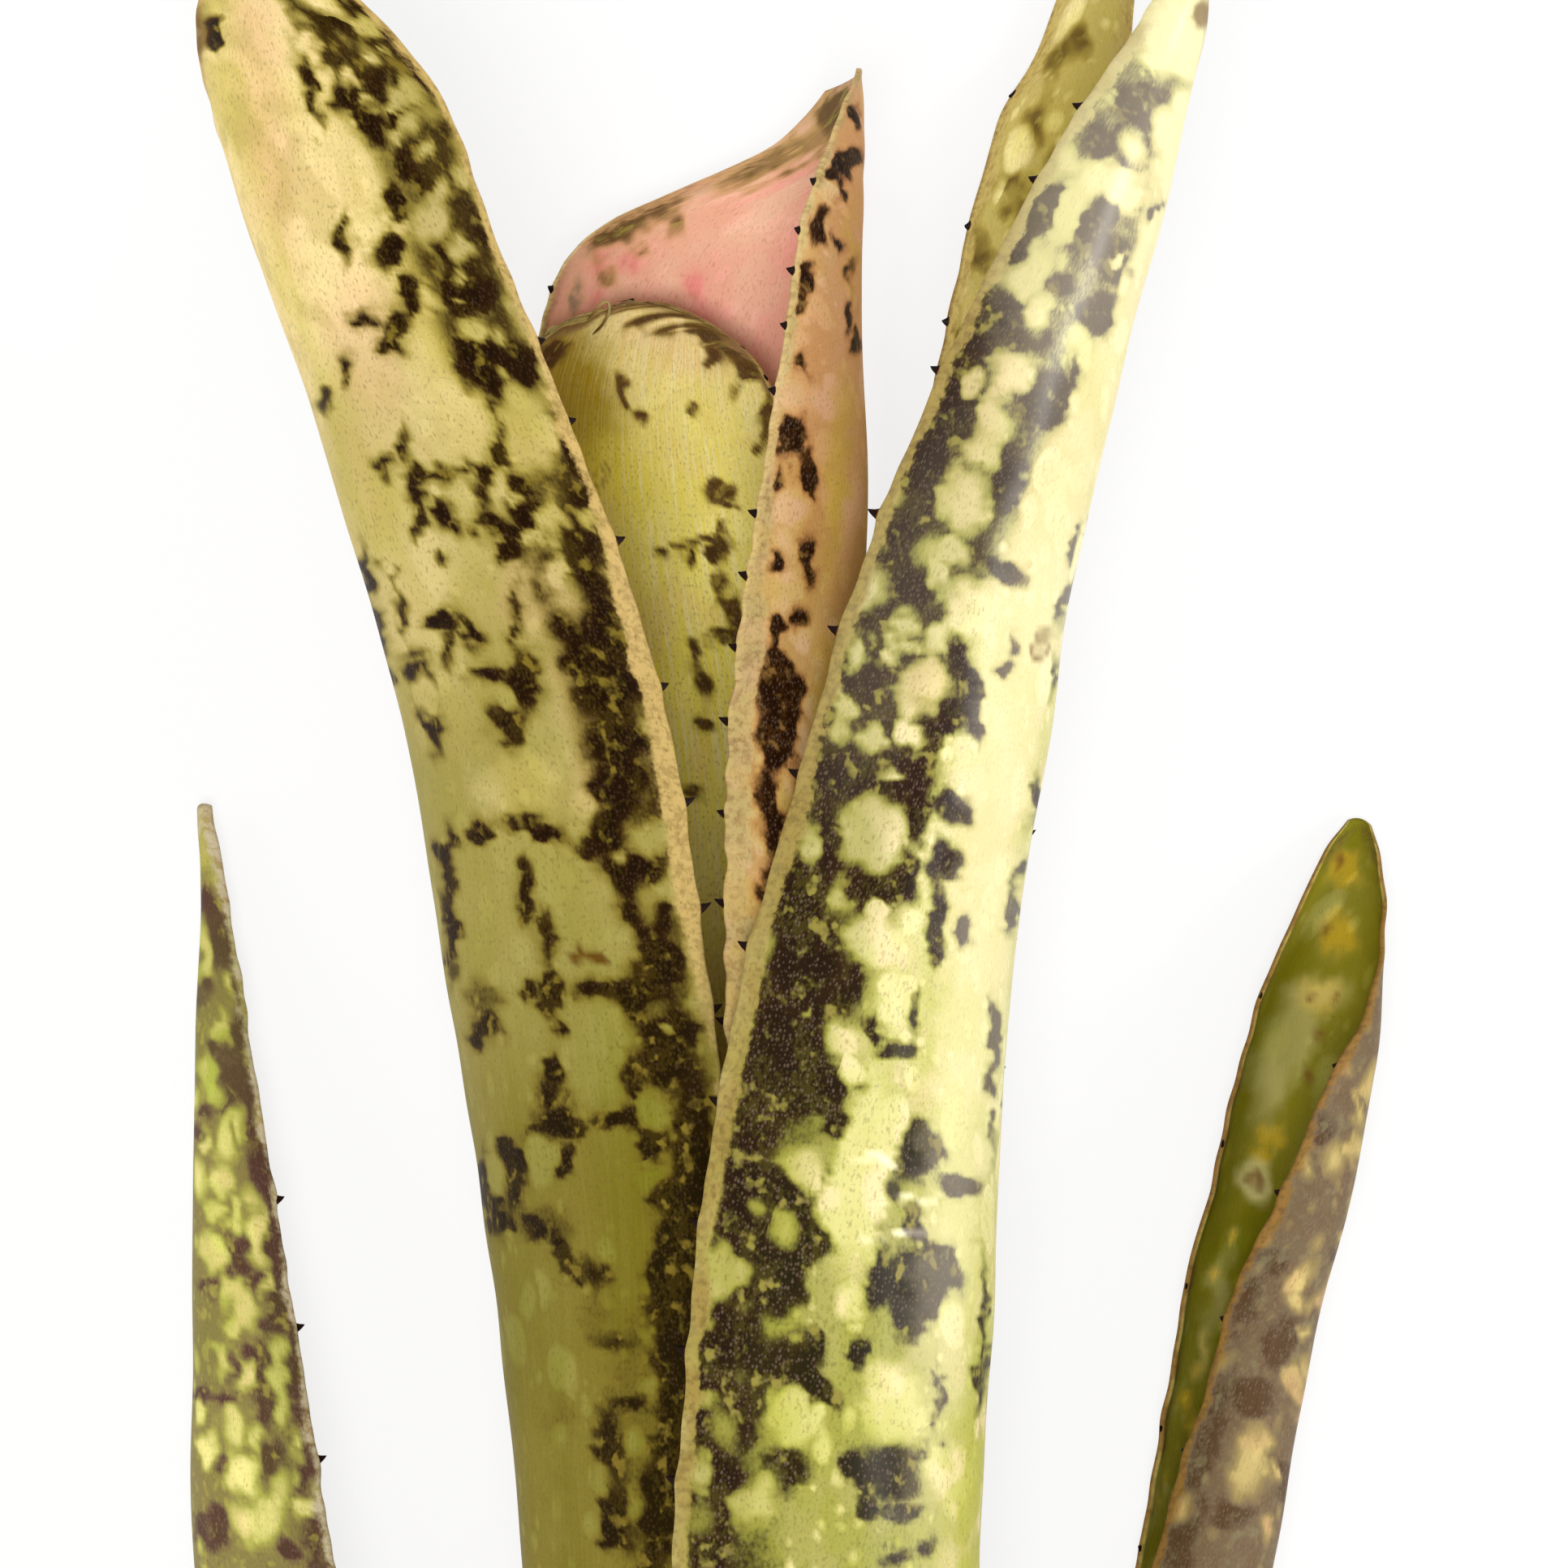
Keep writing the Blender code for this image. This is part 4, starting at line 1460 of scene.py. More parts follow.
# Spots as seen from above: x, y, half width, half height, turn in degrees.
FRONT_RIGHT_DARK: Rows = (
    (45.1, 176.7, 3.6, 5, -18), (49.4, 181, 1.4), (36.5, 167.2, 1.6, 4, -25),
    (42.3, 166.3, 1.8, 4.2, -20), (49.5, 167.5, 0.6, 1.4, -15), (44.5, 161.1, 2.2, 2.4),
    (32.8, 162, 1.3, 2, -25), (37.1, 161.1, 1.6, 4, -18), (38.3, 158.6, 1.5), (31, 152.5, 5, 4.2),
    (42.9, 154.6, 2.2, 1.8, 20), (39.9, 147.9, 0.5, 2.5, -12), (25.3, 143.1, 3.2, 5.5, -22),
    (36.6, 143.4, 3), (31.7, 133.6, 2.6, 3.6, -10), (21, 136.1, 4), (19.2, 124.7, 5, 6, -20),
    (31.4, 122.6, 2.5, 1.2, -15), (40.3, 127.8, 0.6, 1.5, -10), (39.7, 123.8, 0.7, 4, -10),
    (38.4, 118.9, 0.6, 2.5, -15), (25.9, 112.5, 1.3, 3, 5), (26.8, 107.9, 1.6, 3.5),
    (30.8, 110.7, 0.9), (32, 113.4, 0.5, 1.3, -10), (37.2, 109.7, 0.4, 1.8, -8),
    (9.6, 103.7, 1.5, 3.5, -12), (17.3, 103.1, 1), (25.5, 107.4, 2.5, 4, -10),
    (28, 103.4, 1, 1.5, 25), (22.5, 102.5, 0.9, 3, -15), (15.1, 97.9, 7, 3), (20.6, 93.3, 1.5, 3),
    (24.6, 93.9, 2.1), (9.6, 89.6, 1.4, 4), (6.6, 82.3, 3, 4.6), (16.3, 83.8, 3.8, 2, 10),
    (23.7, 86.6, 1.6, 2.6), (23.1, 80.1, 0.9, 4, -8), (22.8, 75.5, 1.1, 0.7),
    (26.3, 78.6, 0.8, 2.2, -12), (31.6, 80.7, 0.9, 2.4, -8), (35, 94.2, 0.7, 3),
    (33.2, 85.9, 0.5, 2, -20), (6.9, 74, 3.2, 6, -8), (13.3, 73.1, 1), (12.1, 70.6, 1.5),
    (15.1, 66.3, 0.8, 1.4), (17.9, 63.9, 2.4, 1, 10), (20, 68.5, 0.6, 2.2), (3.8, 64.8, 2.8, 5, -5),
    (29.5, 66.3, 0.8, 2.8), (6.2, 59.7, 4.5), (13.9, 59.1, 1.2, 0.8), (11.1, 54.5, 1.3, 2.2),
    (9.9, 47.5, 1, 2.4, -10), (0.1, 46.2, 2.6, 4, -20), (3.5, 39.2, 4, 4.5), (3.5, 34.5, 3),
    (20.3, 51.4, 3.4), (17.2, 46.8, 1.2, 1.6), (24.3, 46.8, 1.6), (14.2, 42.2, 2, 0.6, 15),
    (20, 42.5, 0.9, 2), (20.6, 34.9, 4.6, 4.2), (15.4, 36.1, 1.2, 4, -5), (19.4, 30, 2),
    (22.8, 38.6, 2.2, 1.8), (13.6, 26.8, 0.8, 1.8, -10), (-1.7, 30, 3.4, 4), (-5.6, 23.8, 0.7, 1.2),
    (7.6, 27.4, 1.1, 1.9), (7.5, 24.1, 1, 2, -10), (9, 21.5, 2.4, 1.1, -35), (-2.6, 15.9, 3.4, 1.6),
    (-4.8, 18.3, 1.2), (-3.3, 11.3, 1.2, 3), (-4.2, 5.8, 1.6, 2.6), (-3.9, 2.1, 1.2, 2),
    (12.4, 12.8, 1.4, 1.8, 10), (13.9, 9.7, 0.8, 2.4), (14.2, 7, 1.4, 1.2), (18.8, 7, 2.2, 1.2, 10),
    (21.8, 15.2, 1.4, 2, -10), (22.8, 20.5, 0.4, 3.5), (21.2, 2.4, 1.2, 1), (17.9, 1.8, 1.2, 0.8),
    (29.5, 59.1, 0.4, 6), (26.4, 47.5, 2, 1.5, 20), (28.4, 29.8, 0.4, 6), (27.7, 22.6, 0.4, 3),
    (5.8, 46.4, 3, 3.4), (8.4, 40.4, 2.2, 2.6), (8.6, 66.4, 2.2, 3), (19.4, 85.6, 1.8, 3),
)

FRONT_RIGHT_PALE: Rows = (
    (42.6, 171.2, 3, 2.5, -20), (39.3, 167.2, 1.6, 3.5, -20), (46.3, 169.9, 2), (44.8, 161.7, 0.8),
    (33.8, 159.2, 2, 2.6, -30), (35.3, 154.9, 1.5, 2, -20), (32.5, 147.8, 2.8, 2.6, 30),
    (27.1, 146.1, 1.4, 1.7), (30.2, 141.6, 2.2, 2.8), (28.7, 137.6, 1.9),
    (26.2, 131.2, 2.8, 3.8, -10), (25.3, 125.3, 1.5), (23.1, 122.3, 1.4), (26.7, 118.2, 3, 4),
    (22.8, 114.6, 2, 1.2, 30), (19.2, 116.2, 1.5), (13.3, 112.8, 1.3, 2.2, -10), (17.3, 112.2, 0.9),
    (19.8, 113.4, 0.7), (21.6, 108.8, 3.6, 2.6, 25), (11.8, 106.1, 1, 1.5), (11.6, 103.1, 0.8, 1.6),
    (14.8, 101.9, 1.8), (20, 102.5, 2, 1.6), (17.7, 97.9, 1.5, 1), (15.1, 90.2, 4, 4.4),
    (7.6, 89, 1.3, 2.4, -10), (11, 82.6, 1.5, 2), (15.4, 81.3, 1.1), (15.1, 77.4, 3.5, 3),
    (11.1, 65.4, 2, 2.4), (17.5, 69.5, 1.6, 3), (6.9, 68.5, 0.6), (6.5, 49, 2.6),
    (-2.5, 36.7, 1.8, 3.4), (13.9, 48.4, 3.4, 12, -8), (5.3, 18.6, 2.6, 3.2), (-5.1, 21.1, 0.9),
    (0.1, 7.9, 2.4, 2.8), (-5.7, 11.9, 1.4, 2.4), (17.2, 20.5, 3.6, 4.6), (24.3, 11.3, 2, 3),
)

FRONT_RIGHT_FRECKLED: Rows = (
    (8.7, 58.2, 1.7), (20, 52, 2.4, 2), (22, 34, 1.6), (3.5, 25.4, 5, 3), (-1.1, 21.1, 4, 2.4),
    (4.4, 12.2, 2.2, 2.6), (17.2, 11.9, 3.4, 3.2),
)

FRONT_LEFT_DARK: Rows = (
    (-50.9, 190.8, 4.5, 3), (-47.9, 187.1, 4.5, 3.5), (-44.8, 184.3, 3),
    (-41.8, 184.3, 0.9, 3.2, 37), (-53.7, 182.5, 0.4, 3.6, 8), (-49.4, 181, 1.8, 1.6),
    (-44.2, 178.8, 0.8, 1.6), (-38.7, 176.7, 1.3, 1.9, 20), (-42.4, 173.9, 1.4, 1.8),
    (-39, 173.6, 1.8, 1.6), (-40.5, 170.5, 0.8, 2.4, 25), (-35.6, 167.8, 1.8, 2.6, 20),
    (-33.5, 164.1, 1.4, 2.6, 15), (-43.6, 167.8, 0.9, 2.2, 10), (-44.2, 162.6, 1.6, 2),
    (-37.8, 162.3, 0.6, 1.6), (-34.7, 158, 3.2, 4.2, 15), (-49.7, 163.8, 0.5, 2.4),
    (-41.8, 157.1, 0.9, 2), (-43.3, 153.4, 1.9, 1.7), (-43.9, 150.7, 1.3), (-47.3, 154, 1, 0.6),
    (-33.6, 149.7, 2.6), (-29.2, 149.1, 2.6, 2.4, 20), (-27.4, 146.6, 1.5), (-32.9, 146, 2),
    (-31.6, 143.6, 1.1, 2.4, 20), (-49.6, 147.9, 0.4, 1.2), (-51.7, 143.9, 0.4, 1.2, 10),
    (-30.7, 139.3, 0.8, 3.5), (-30.4, 136.8, 1.2), (-37.2, 135.2, 3.4, 0.5),
    (-40.7, 133.8, 0.5, 2.8), (-40.2, 129.2, 0.4, 2.8), (-32.4, 135, 1, 0.8),
    (-32.6, 132.5, 0.4, 1.8), (-28.3, 133.8, 1.6, 0.9, -35), (-27.7, 129.8, 1.6, 3.2, 10),
    (-22.8, 139.9, 0.8, 3, 22), (-21.2, 135.6, 1.4, 3.6, 18), (-20.3, 133.2, 1.8, 3.2, 15),
    (-20.6, 126.1, 2.2, 4, 12), (-31.6, 128.3, 1.7, 1.2, -25), (-28.9, 125.8, 1.7),
    (-37.6, 130.1, 0.8, 1.5, 10), (-35.6, 128.6, 0.6), (-38.1, 124.3, 0.7, 0.9),
    (-42.2, 138.7, 0.6, 1.8), (-44.7, 136.2, 0.5, 1.4), (-44.2, 124.3, 0.4, 1.5, 20),
    (-46.5, 122.1, 0.4, 3.5, 8), (-46, 118.5, 0.4, 2.5, 8), (-42.5, 117.9, 0.3, 2.2, 12),
    (-37.5, 117.2, 1.2), (-36.9, 113.9, 0.4, 2), (-34.3, 115.7, 0.9, 2.6, 28),
    (-28.6, 117.2, 0.4, 3), (-40.8, 111.1, 1.2, 1), (-39.8, 109.6, 0.9, 2, 5),
    (-44.7, 112.3, 0.4, 2.5, 8), (-21.9, 121.5, 4, 3, 15), (-20.2, 116.9, 4, 3, 12),
    (-18.8, 112.3, 4, 3, 10), (-17.3, 108, 4, 3, 8), (-16.3, 102, 3.8, 3.5, 6),
    (-16.1, 95.9, 3, 3.5), (-17.4, 90.4, 2, 3), (-14, 85.2, 3.6, 2.6), (-12.5, 80.6, 2.4, 3, 8),
    (-10.9, 74.5, 3.2, 3.2, 5), (-13.4, 70.5, 3.6, 1.8), (-10, 65.9, 3.8, 3),
    (-27.7, 109.4, 1.8, 3.2), (-32, 110.2, 1.8, 0.6), (-38.8, 104.8, 0.6, 3.6, 12),
    (-29, 102.9, 1.6, 2.2), (-31.1, 105.1, 0.6, 0.9), (-32.7, 90.4, 1.2, 1),
    (-28.1, 91.9, 2.4, 0.9), (-24.4, 90.4, 2.4, 0.8, -15), (-20.4, 88.5, 1.6, 0.9, -10),
    (-36.3, 90.7, 0.5, 0.8), (-37.4, 88.5, 0.6, 1.4), (-36.9, 85.2, 0.4, 3),
    (-36.3, 78.5, 0.5, 4.5), (-26.9, 85.5, 1.2, 2.2), (-27.2, 81.5, 0.8, 2),
    (-24.7, 78.1, 0.5, 2.6), (-24.1, 70.8, 1, 2.8), (-22.9, 66.3, 0.8, 0.6), (-26.6, 71, 0.9, 0.7),
    (-18.3, 71.4, 3, 0.8), (-31.7, 66.8, 1.3), (-32.8, 65.1, 1, 0.6), (-24.1, 61.4, 1, 1.6),
    (-23.9, 57.4, 0.8, 2.4), (-22.4, 54.4, 1.8, 1.6), (-25.6, 53.8, 1.2, 0.8),
    (-22.4, 50.1, 1, 1.4), (-16.6, 55.6, 2.4, 0.8), (-30.1, 51.6, 1.6), (-27.6, 50.7, 0.8, 1.6),
    (-29.1, 47.7, 0.8, 2.6), (-31.9, 46.1, 0.9, 3.5), (-30.2, 42.5, 1.6, 1.2),
    (-25.5, 42.2, 1.4, 1.1), (-23.4, 39.8, 0.9, 2, 32), (-21.5, 36.6, 0.9, 1.8, 30),
    (-9.9, 62, 2.8, 2.6), (-13.8, 56.8, 0.5, 3), (-11.7, 51.3, 1.6, 2.2), (-8.6, 54.4, 1.2),
    (-8.9, 45.8, 2.6, 3), (-6.2, 50.7, 1.4, 3), (-9, 37, 1.8, 2.8), (-8.6, 32.5, 1.2, 3),
    (-11.2, 22.2, 4.4, 1.4, 32), (-17.6, 16.5, 1.2, 0.5), (-16.4, 14, 0.8, 2), (-17, 8.8, 0.5, 3),
    (-16.4, 5.1, 0.9, 2.4), (-10.6, 9.7, 1.2, 2), (-12.7, 15.6, 3, 2.6),
    (-46.6, 177.3, 1.2, 2.6, 25),
)

FRONT_LEFT_PALE: Rows = (
    (-47.3, 190.1, 0.9), (-46.6, 185.9, 0.5), (-45, 186.8, 0.5), (-54.6, 188, 1.1, 1.4),
    (-53.2, 186.2, 0.7, 1.5), (-52.5, 182.8, 0.9, 1.7), (-49.3, 183.4, 1.1), (-47.1, 181.4, 0.7),
    (-42.7, 181.9, 1.8, 1.4), (-44.5, 180.6, 0.9), (-41.8, 178.2, 1.5), (-43.3, 175.8, 0.8, 1.3),
    (-40.2, 174.8, 0.7), (-35.6, 172.1, 1.2, 2, 25), (-38.5, 169.3, 1.3, 1.9, 10),
    (-32.9, 167.8, 0.8, 2.6, 15), (-43.1, 165.2, 1.1), (-39.3, 165.7, 2.3),
    (-35.8, 162.6, 1.2, 1.7), (-36.2, 159.2, 0.5, 0.9), (-34.9, 158.3, 0.7), (-35.6, 155.9, 0.6),
    (-34.3, 152.9, 1.5, 1.4), (-30.7, 151.6, 0.8, 1.5, 20), (-30.4, 146.6, 0.6),
    (-36.9, 141.4, 5.4), (-27.1, 139.9, 3.2, 5.4, 20), (-30.6, 133.8, 1, 2.2), (-28.6, 131.9, 0.8),
    (-20.2, 129.5, 1.1, 1.3), (-24.6, 129.8, 1.7, 2.6), (-26.8, 127, 1.3, 1),
    (-23.8, 123.1, 1, 1.6), (-24.3, 126.1, 0.6), (-29.3, 107.2, 1.1, 1.4), (-11.9, 89.8, 2.6, 1.8),
    (-15.8, 87.6, 0.9), (-8.8, 83.7, 1.8, 3), (-20.4, 82.7, 3, 4), (-18.9, 76.6, 4.8, 4),
    (-18.1, 63.8, 4.2, 6), (-11.7, 56.8, 1.6, 2.2), (-8.6, 50.1, 0.9, 1.4), (-10.1, 66, 1),
    (-14.5, 9.1, 1.4, 2.2),
)

PINK_INNER_DARK: Rows = (
    (-17.4, 165, 3, 1.8, 32), (-13.4, 167.4, 3, 1.7, 30), (-9.6, 169.4, 2.2, 1.4, 25),
    (-9.2, 165.6, 0.8, 1.2), (-1, 173.5, 2.2, 1, 20), (4.6, 172, 1.2, 0.7), (-17.6, 159.1, 1.2, 1),
    (-21.8, 156.9, 0.8, 2), (-13.7, 161.9, 0.6), (-6.5, 156.5, 0.4), (11, 181, 2.4, 4),
)

PINK_INNER_HOT: Rows = (
    (-6.6, 157.9, 1.4, 2.2), (-5.2, 153.6, 0.8, 1.4), (-19, 161, 1.8, 1.4),
    (-19.8, 157.2, 1.6, 1.4), (-14.6, 160.6, 1, 0.8),
)

PINK_STRIP_DARK: Rows = (
    (11.3, 173.2, 2, 1.2, 30), (10.2, 171.5, 1.6, 1), (12.7, 179.1, 0.8, 1.4), (7.9, 164.8, 1, 2),
    (8.8, 167, 0.8), (11, 169.2, 0.6, 1.2), (10.5, 163.1, 0.6, 0.8), (7.4, 158.9, 1, 1.4),
    (5.7, 156.6, 0.7, 1.8), (5.3, 151, 0.6, 2.6), (12.1, 153.5, 0.7, 2.6), (12.3, 160, 0.4, 1.4),
    (12.3, 151.7, 0.6, 1.4), (6.5, 148.2, 0.7, 1.2), (5, 139.6, 1.6, 2.8), (6.8, 134.3, 1, 3),
    (3.7, 132.8, 0.7, 2.5), (3.2, 124.3, 0.9, 2), (6.9, 124.3, 0.8, 3), (5.8, 116.7, 1.4, 2),
    (2.8, 115.9, 0.9, 3), (2.7, 109.8, 1.5, 3), (5.2, 108.3, 1.6, 2), (3.4, 104, 2.4, 3.4),
    (2.9, 100, 1.2, 2.6), (2.6, 96, 1.4, 3), (2.9, 90.8, 0.9, 4), (2.3, 84.7, 0.6, 4),
)

PINK_STRIP_PALE: Rows = (
    (7.4, 154.9, 1.2, 1.8), (5.8, 151.5, 1.3), (6.4, 144.2, 1.8), (9.7, 143.4, 1.6, 1.8),
    (5.4, 130.5, 1.5, 2.2), (4.5, 126.6, 1.1), (4.2, 120.1, 1.9, 2.3), (9.5, 129.3, 0.7),
    (9.2, 137.9, 1.4, 1.6), (11.8, 131.8, 2, 4), (4.1, 94.8, 0.9, 1.2), (6.6, 101.5, 1.2, 2),
)

INNER_DARK: Rows = (
    (-14.1, 154.6, 3, 1.2), (-9.9, 155.1, 1.8, 0.9), (-6.5, 153.2, 2.4, 1.2, -35),
    (-3, 151.2, 2.2, 1.2, -40), (-0.1, 147.7, 1.6, 1, -50), (-0.8, 145.4, 1.2, 1),
    (1.3, 146.3, 0.9), (3.1, 143.6, 0.5, 1.6), (2.2, 139.7, 0.4, 1.6), (1.3, 137.8, 0.6, 0.8),
    (-5.1, 149.3, 1, 0.8), (-23.2, 149.3, 2.6, 1.6), (-15.8, 145.4, 0.5, 1.6),
    (-15.7, 143.6, 0.6, 0.9), (-13.6, 141.8, 1.2, 0.6, -35), (-6.7, 142.4, 0.8, 0.5),
    (-4, 132.8, 1.3), (-1.9, 131.7, 1.4, 0.8, -40), (-3.4, 128.3, 0.7, 0.9),
    (-5.7, 127, 2.2, 0.9, 20), (-9.5, 125, 2.2, 0.5, 15), (-3.9, 125, 1.4, 1.2),
    (-7, 123.9, 0.6, 1), (-5.9, 121.4, 0.7), (-3.4, 121.9, 1, 1.2), (-2.4, 118.3, 1.4, 2.2),
    (-1.1, 115.5, 1, 1.4), (-3.4, 114.8, 1.6, 0.6), (-6.7, 113.7, 0.8), (-7, 112.2, 0.5, 1.2),
    (-5.7, 109.1, 1, 2.4, 10), (-5.9, 104.3, 1.6, 1), (-5.7, 95.9, 2.2, 0.9), (-4.8, 81.8, 1.2, 1),
)

OUTER_LEFT_DARK: Rows = (
    (-67.2, 82.5, 1, 2.5), (-66.6, 80, 1, 1.5), (-64.6, 76, 1.2, 4, 8), (-67.1, 70.9, 0.8, 1.5),
    (-62.9, 65.4, 1.2, 2), (-65.1, 64.1, 1), (-63.9, 59.9, 1.2, 3), (-66, 56.8, 2, 0.7),
    (-67.2, 53.7, 0.6, 0.8), (-60.9, 58, 0.7, 6, 8), (-58.6, 46, 0.9, 7, 8), (-60.5, 50, 1, 2),
    (-62.9, 38.5, 1.2, 2.2), (-65.9, 34.8, 1.2, 0.8), (-60.6, 35.4, 0.8, 1.5),
    (-57.4, 32.3, 0.8, 2), (-59.3, 30.4, 1, 0.6), (-61.2, 26.6, 0.8), (-63.4, 24.7, 0.5, 0.8),
    (-59.9, 24.7, 0.9, 4), (-55.9, 22.8, 0.6, 1.4), (-66.9, 21.6, 1, 0.8), (-64, 21.3, 1.5, 0.7),
    (-64, 13.1, 0.9), (-58.7, 13.7, 1, 2), (-59.6, 19.1, 1, 1.5), (-65.6, 5.3, 1.8, 2.2),
    (-54.6, 9.7, 1.2, 1), (-56.5, 2.1, 1.4, 1.2), (-53, 14, 0.7, 6, 10),
)

OUTER_LEFT_PALE: Rows = (
    (-66.9, 77.6, 0.9, 2), (-66.9, 74.5, 0.8, 1.8), (-63.7, 71.2, 0.6, 2.5, 8),
    (-65.1, 66.6, 1, 1.2), (-66.3, 60.5, 0.9, 2.5), (-64.5, 52.8, 1, 2.5), (-66.9, 51.6, 0.7, 0.8),
    (-62.2, 53.7, 0.5, 1), (-64.7, 47.6, 1.2, 1.6), (-65.8, 43.9, 0.9, 1.2), (-62.9, 43.9, 0.9, 2),
    (-65.8, 38.5, 1.3, 2.3), (-60.6, 40.4, 0.9, 2.5, 8), (-63.1, 34.4, 1, 1.5),
    (-62.1, 31.6, 1.4, 2), (-63.4, 29.1, 1.2, 1), (-59.3, 35.1, 0.6, 1.5), (-64.5, 25.4, 0.8, 1.5),
    (-61.8, 23.8, 0.9, 1.6), (-57.8, 26.6, 0.9, 2.2), (-58, 22.5, 0.8, 2), (-57.2, 19.5, 0.9, 1.8),
    (-55.6, 14.4, 0.8, 2.4), (-63.2, 17.5, 1.5, 2.8), (-66.9, 18.8, 0.7, 1.2),
    (-66.2, 14.1, 0.9, 1.2), (-60.3, 15.6, 0.6, 1.6), (-61.8, 10.9, 1.6, 2), (-59.6, 5.9, 2, 3),
    (-55.2, 7.2, 1),
)

OUTER_RIGHT_GOLD: Rows = (
    (73.2, 86.3, 2.5, 2.2), (72.6, 78.1, 2.5, 2.8), (70.2, 70.4, 3, 2.4), (64.4, 53.3, 1.5),
    (62.5, 50.8, 1.6), (57.5, 36.5, 0.8), (59.2, 41.3, 0.6, 0.8), (58.3, 32.4, 0.8, 0.6),
    (58.3, 30, 0.8, 0.6), (55.8, 27.8, 0.8, 1.8), (55.2, 24.7, 0.8, 1.2), (53.4, 20.8, 1.1, 1.5),
    (54.6, 17.4, 0.5, 2), (51.5, 10.8, 0.5), (50.3, 8.4, 0.6, 0.8),
)

OUTER_RIGHT_SCARS: Rows = (
    (72.6, 86.9, 0.6, 1), (70.8, 78.8, 0.5, 0.7), (69.1, 70.4, 0.5), (72.2, 70.1, 0.5),
    (69.9, 65.5, 0.8), (68.5, 60.6, 0.8), (62.2, 47.8, 1, 0.8),
)

OUTER_RIGHT_BACK_PALE: Rows = (
    (72.6, 61.8, 1, 1.6), (68.4, 51.1, 0.9, 2.5, -15), (63.8, 42.2, 0.9, 2, -15),
    (72.6, 40.6, 0.8, 1), (71.7, 36.4, 0.5, 1.6), (67.1, 34.8, 1, 1.2), (70.8, 32.1, 0.7, 2.2),
    (67.7, 32.7, 0.8), (67.7, 29, 0.8, 1), (66.7, 23.8, 1, 1.4), (68.5, 23.5, 0.6, 1.8),
    (67.1, 20.5, 0.9, 2.2), (61.3, 13.1, 2, 4.4, -10), (64.4, 11.9, 0.8, 1), (64.1, 15.6, 0.9, 1),
    # Painted highlight: the last two spots of the next row, on the leaf's right side.
    (63.5, 5.2, 0.8, 1.2), (74.8, 57, 0.6, 2), (74.2, 52, 0.7, 2),
)

OUTER_RIGHT_BACK_DARK: Rows = (
    (70.2, 54.2, 1.4, 1.6), (63.8, 37.9, 1.6), (71.7, 38.5, 0.7, 0.9), (61, 33, 1.2, 4, -15),
    (58, 22, 1.4, 6, -12), (55.8, 13, 1.3, 6, -12), (53.6, 4, 1.3, 5, -12), (59.2, 6.7, 2, 1.4),
    (65.6, 11.3, 0.9, 1.6), (65, 28, 1.5, 3, -12), (62, 21, 2, 2),
)

BACK_RIGHT_DARK: Rows = (
    (38.4, 187.1, 1, 3.2, -25), (40.8, 188.6, 1, 1.6), (35.3, 178.2, 1.1, 2.6, -15),
    (32.2, 170.5, 2, 0.8), (32.8, 167.2, 1.4, 1.6), (27.9, 164.7, 0.5, 3), (28.6, 161.4, 1.6, 1.4),
    (24.9, 151.9, 0.8, 2), (37.6, 173.9, 0.5, 0.8),
)

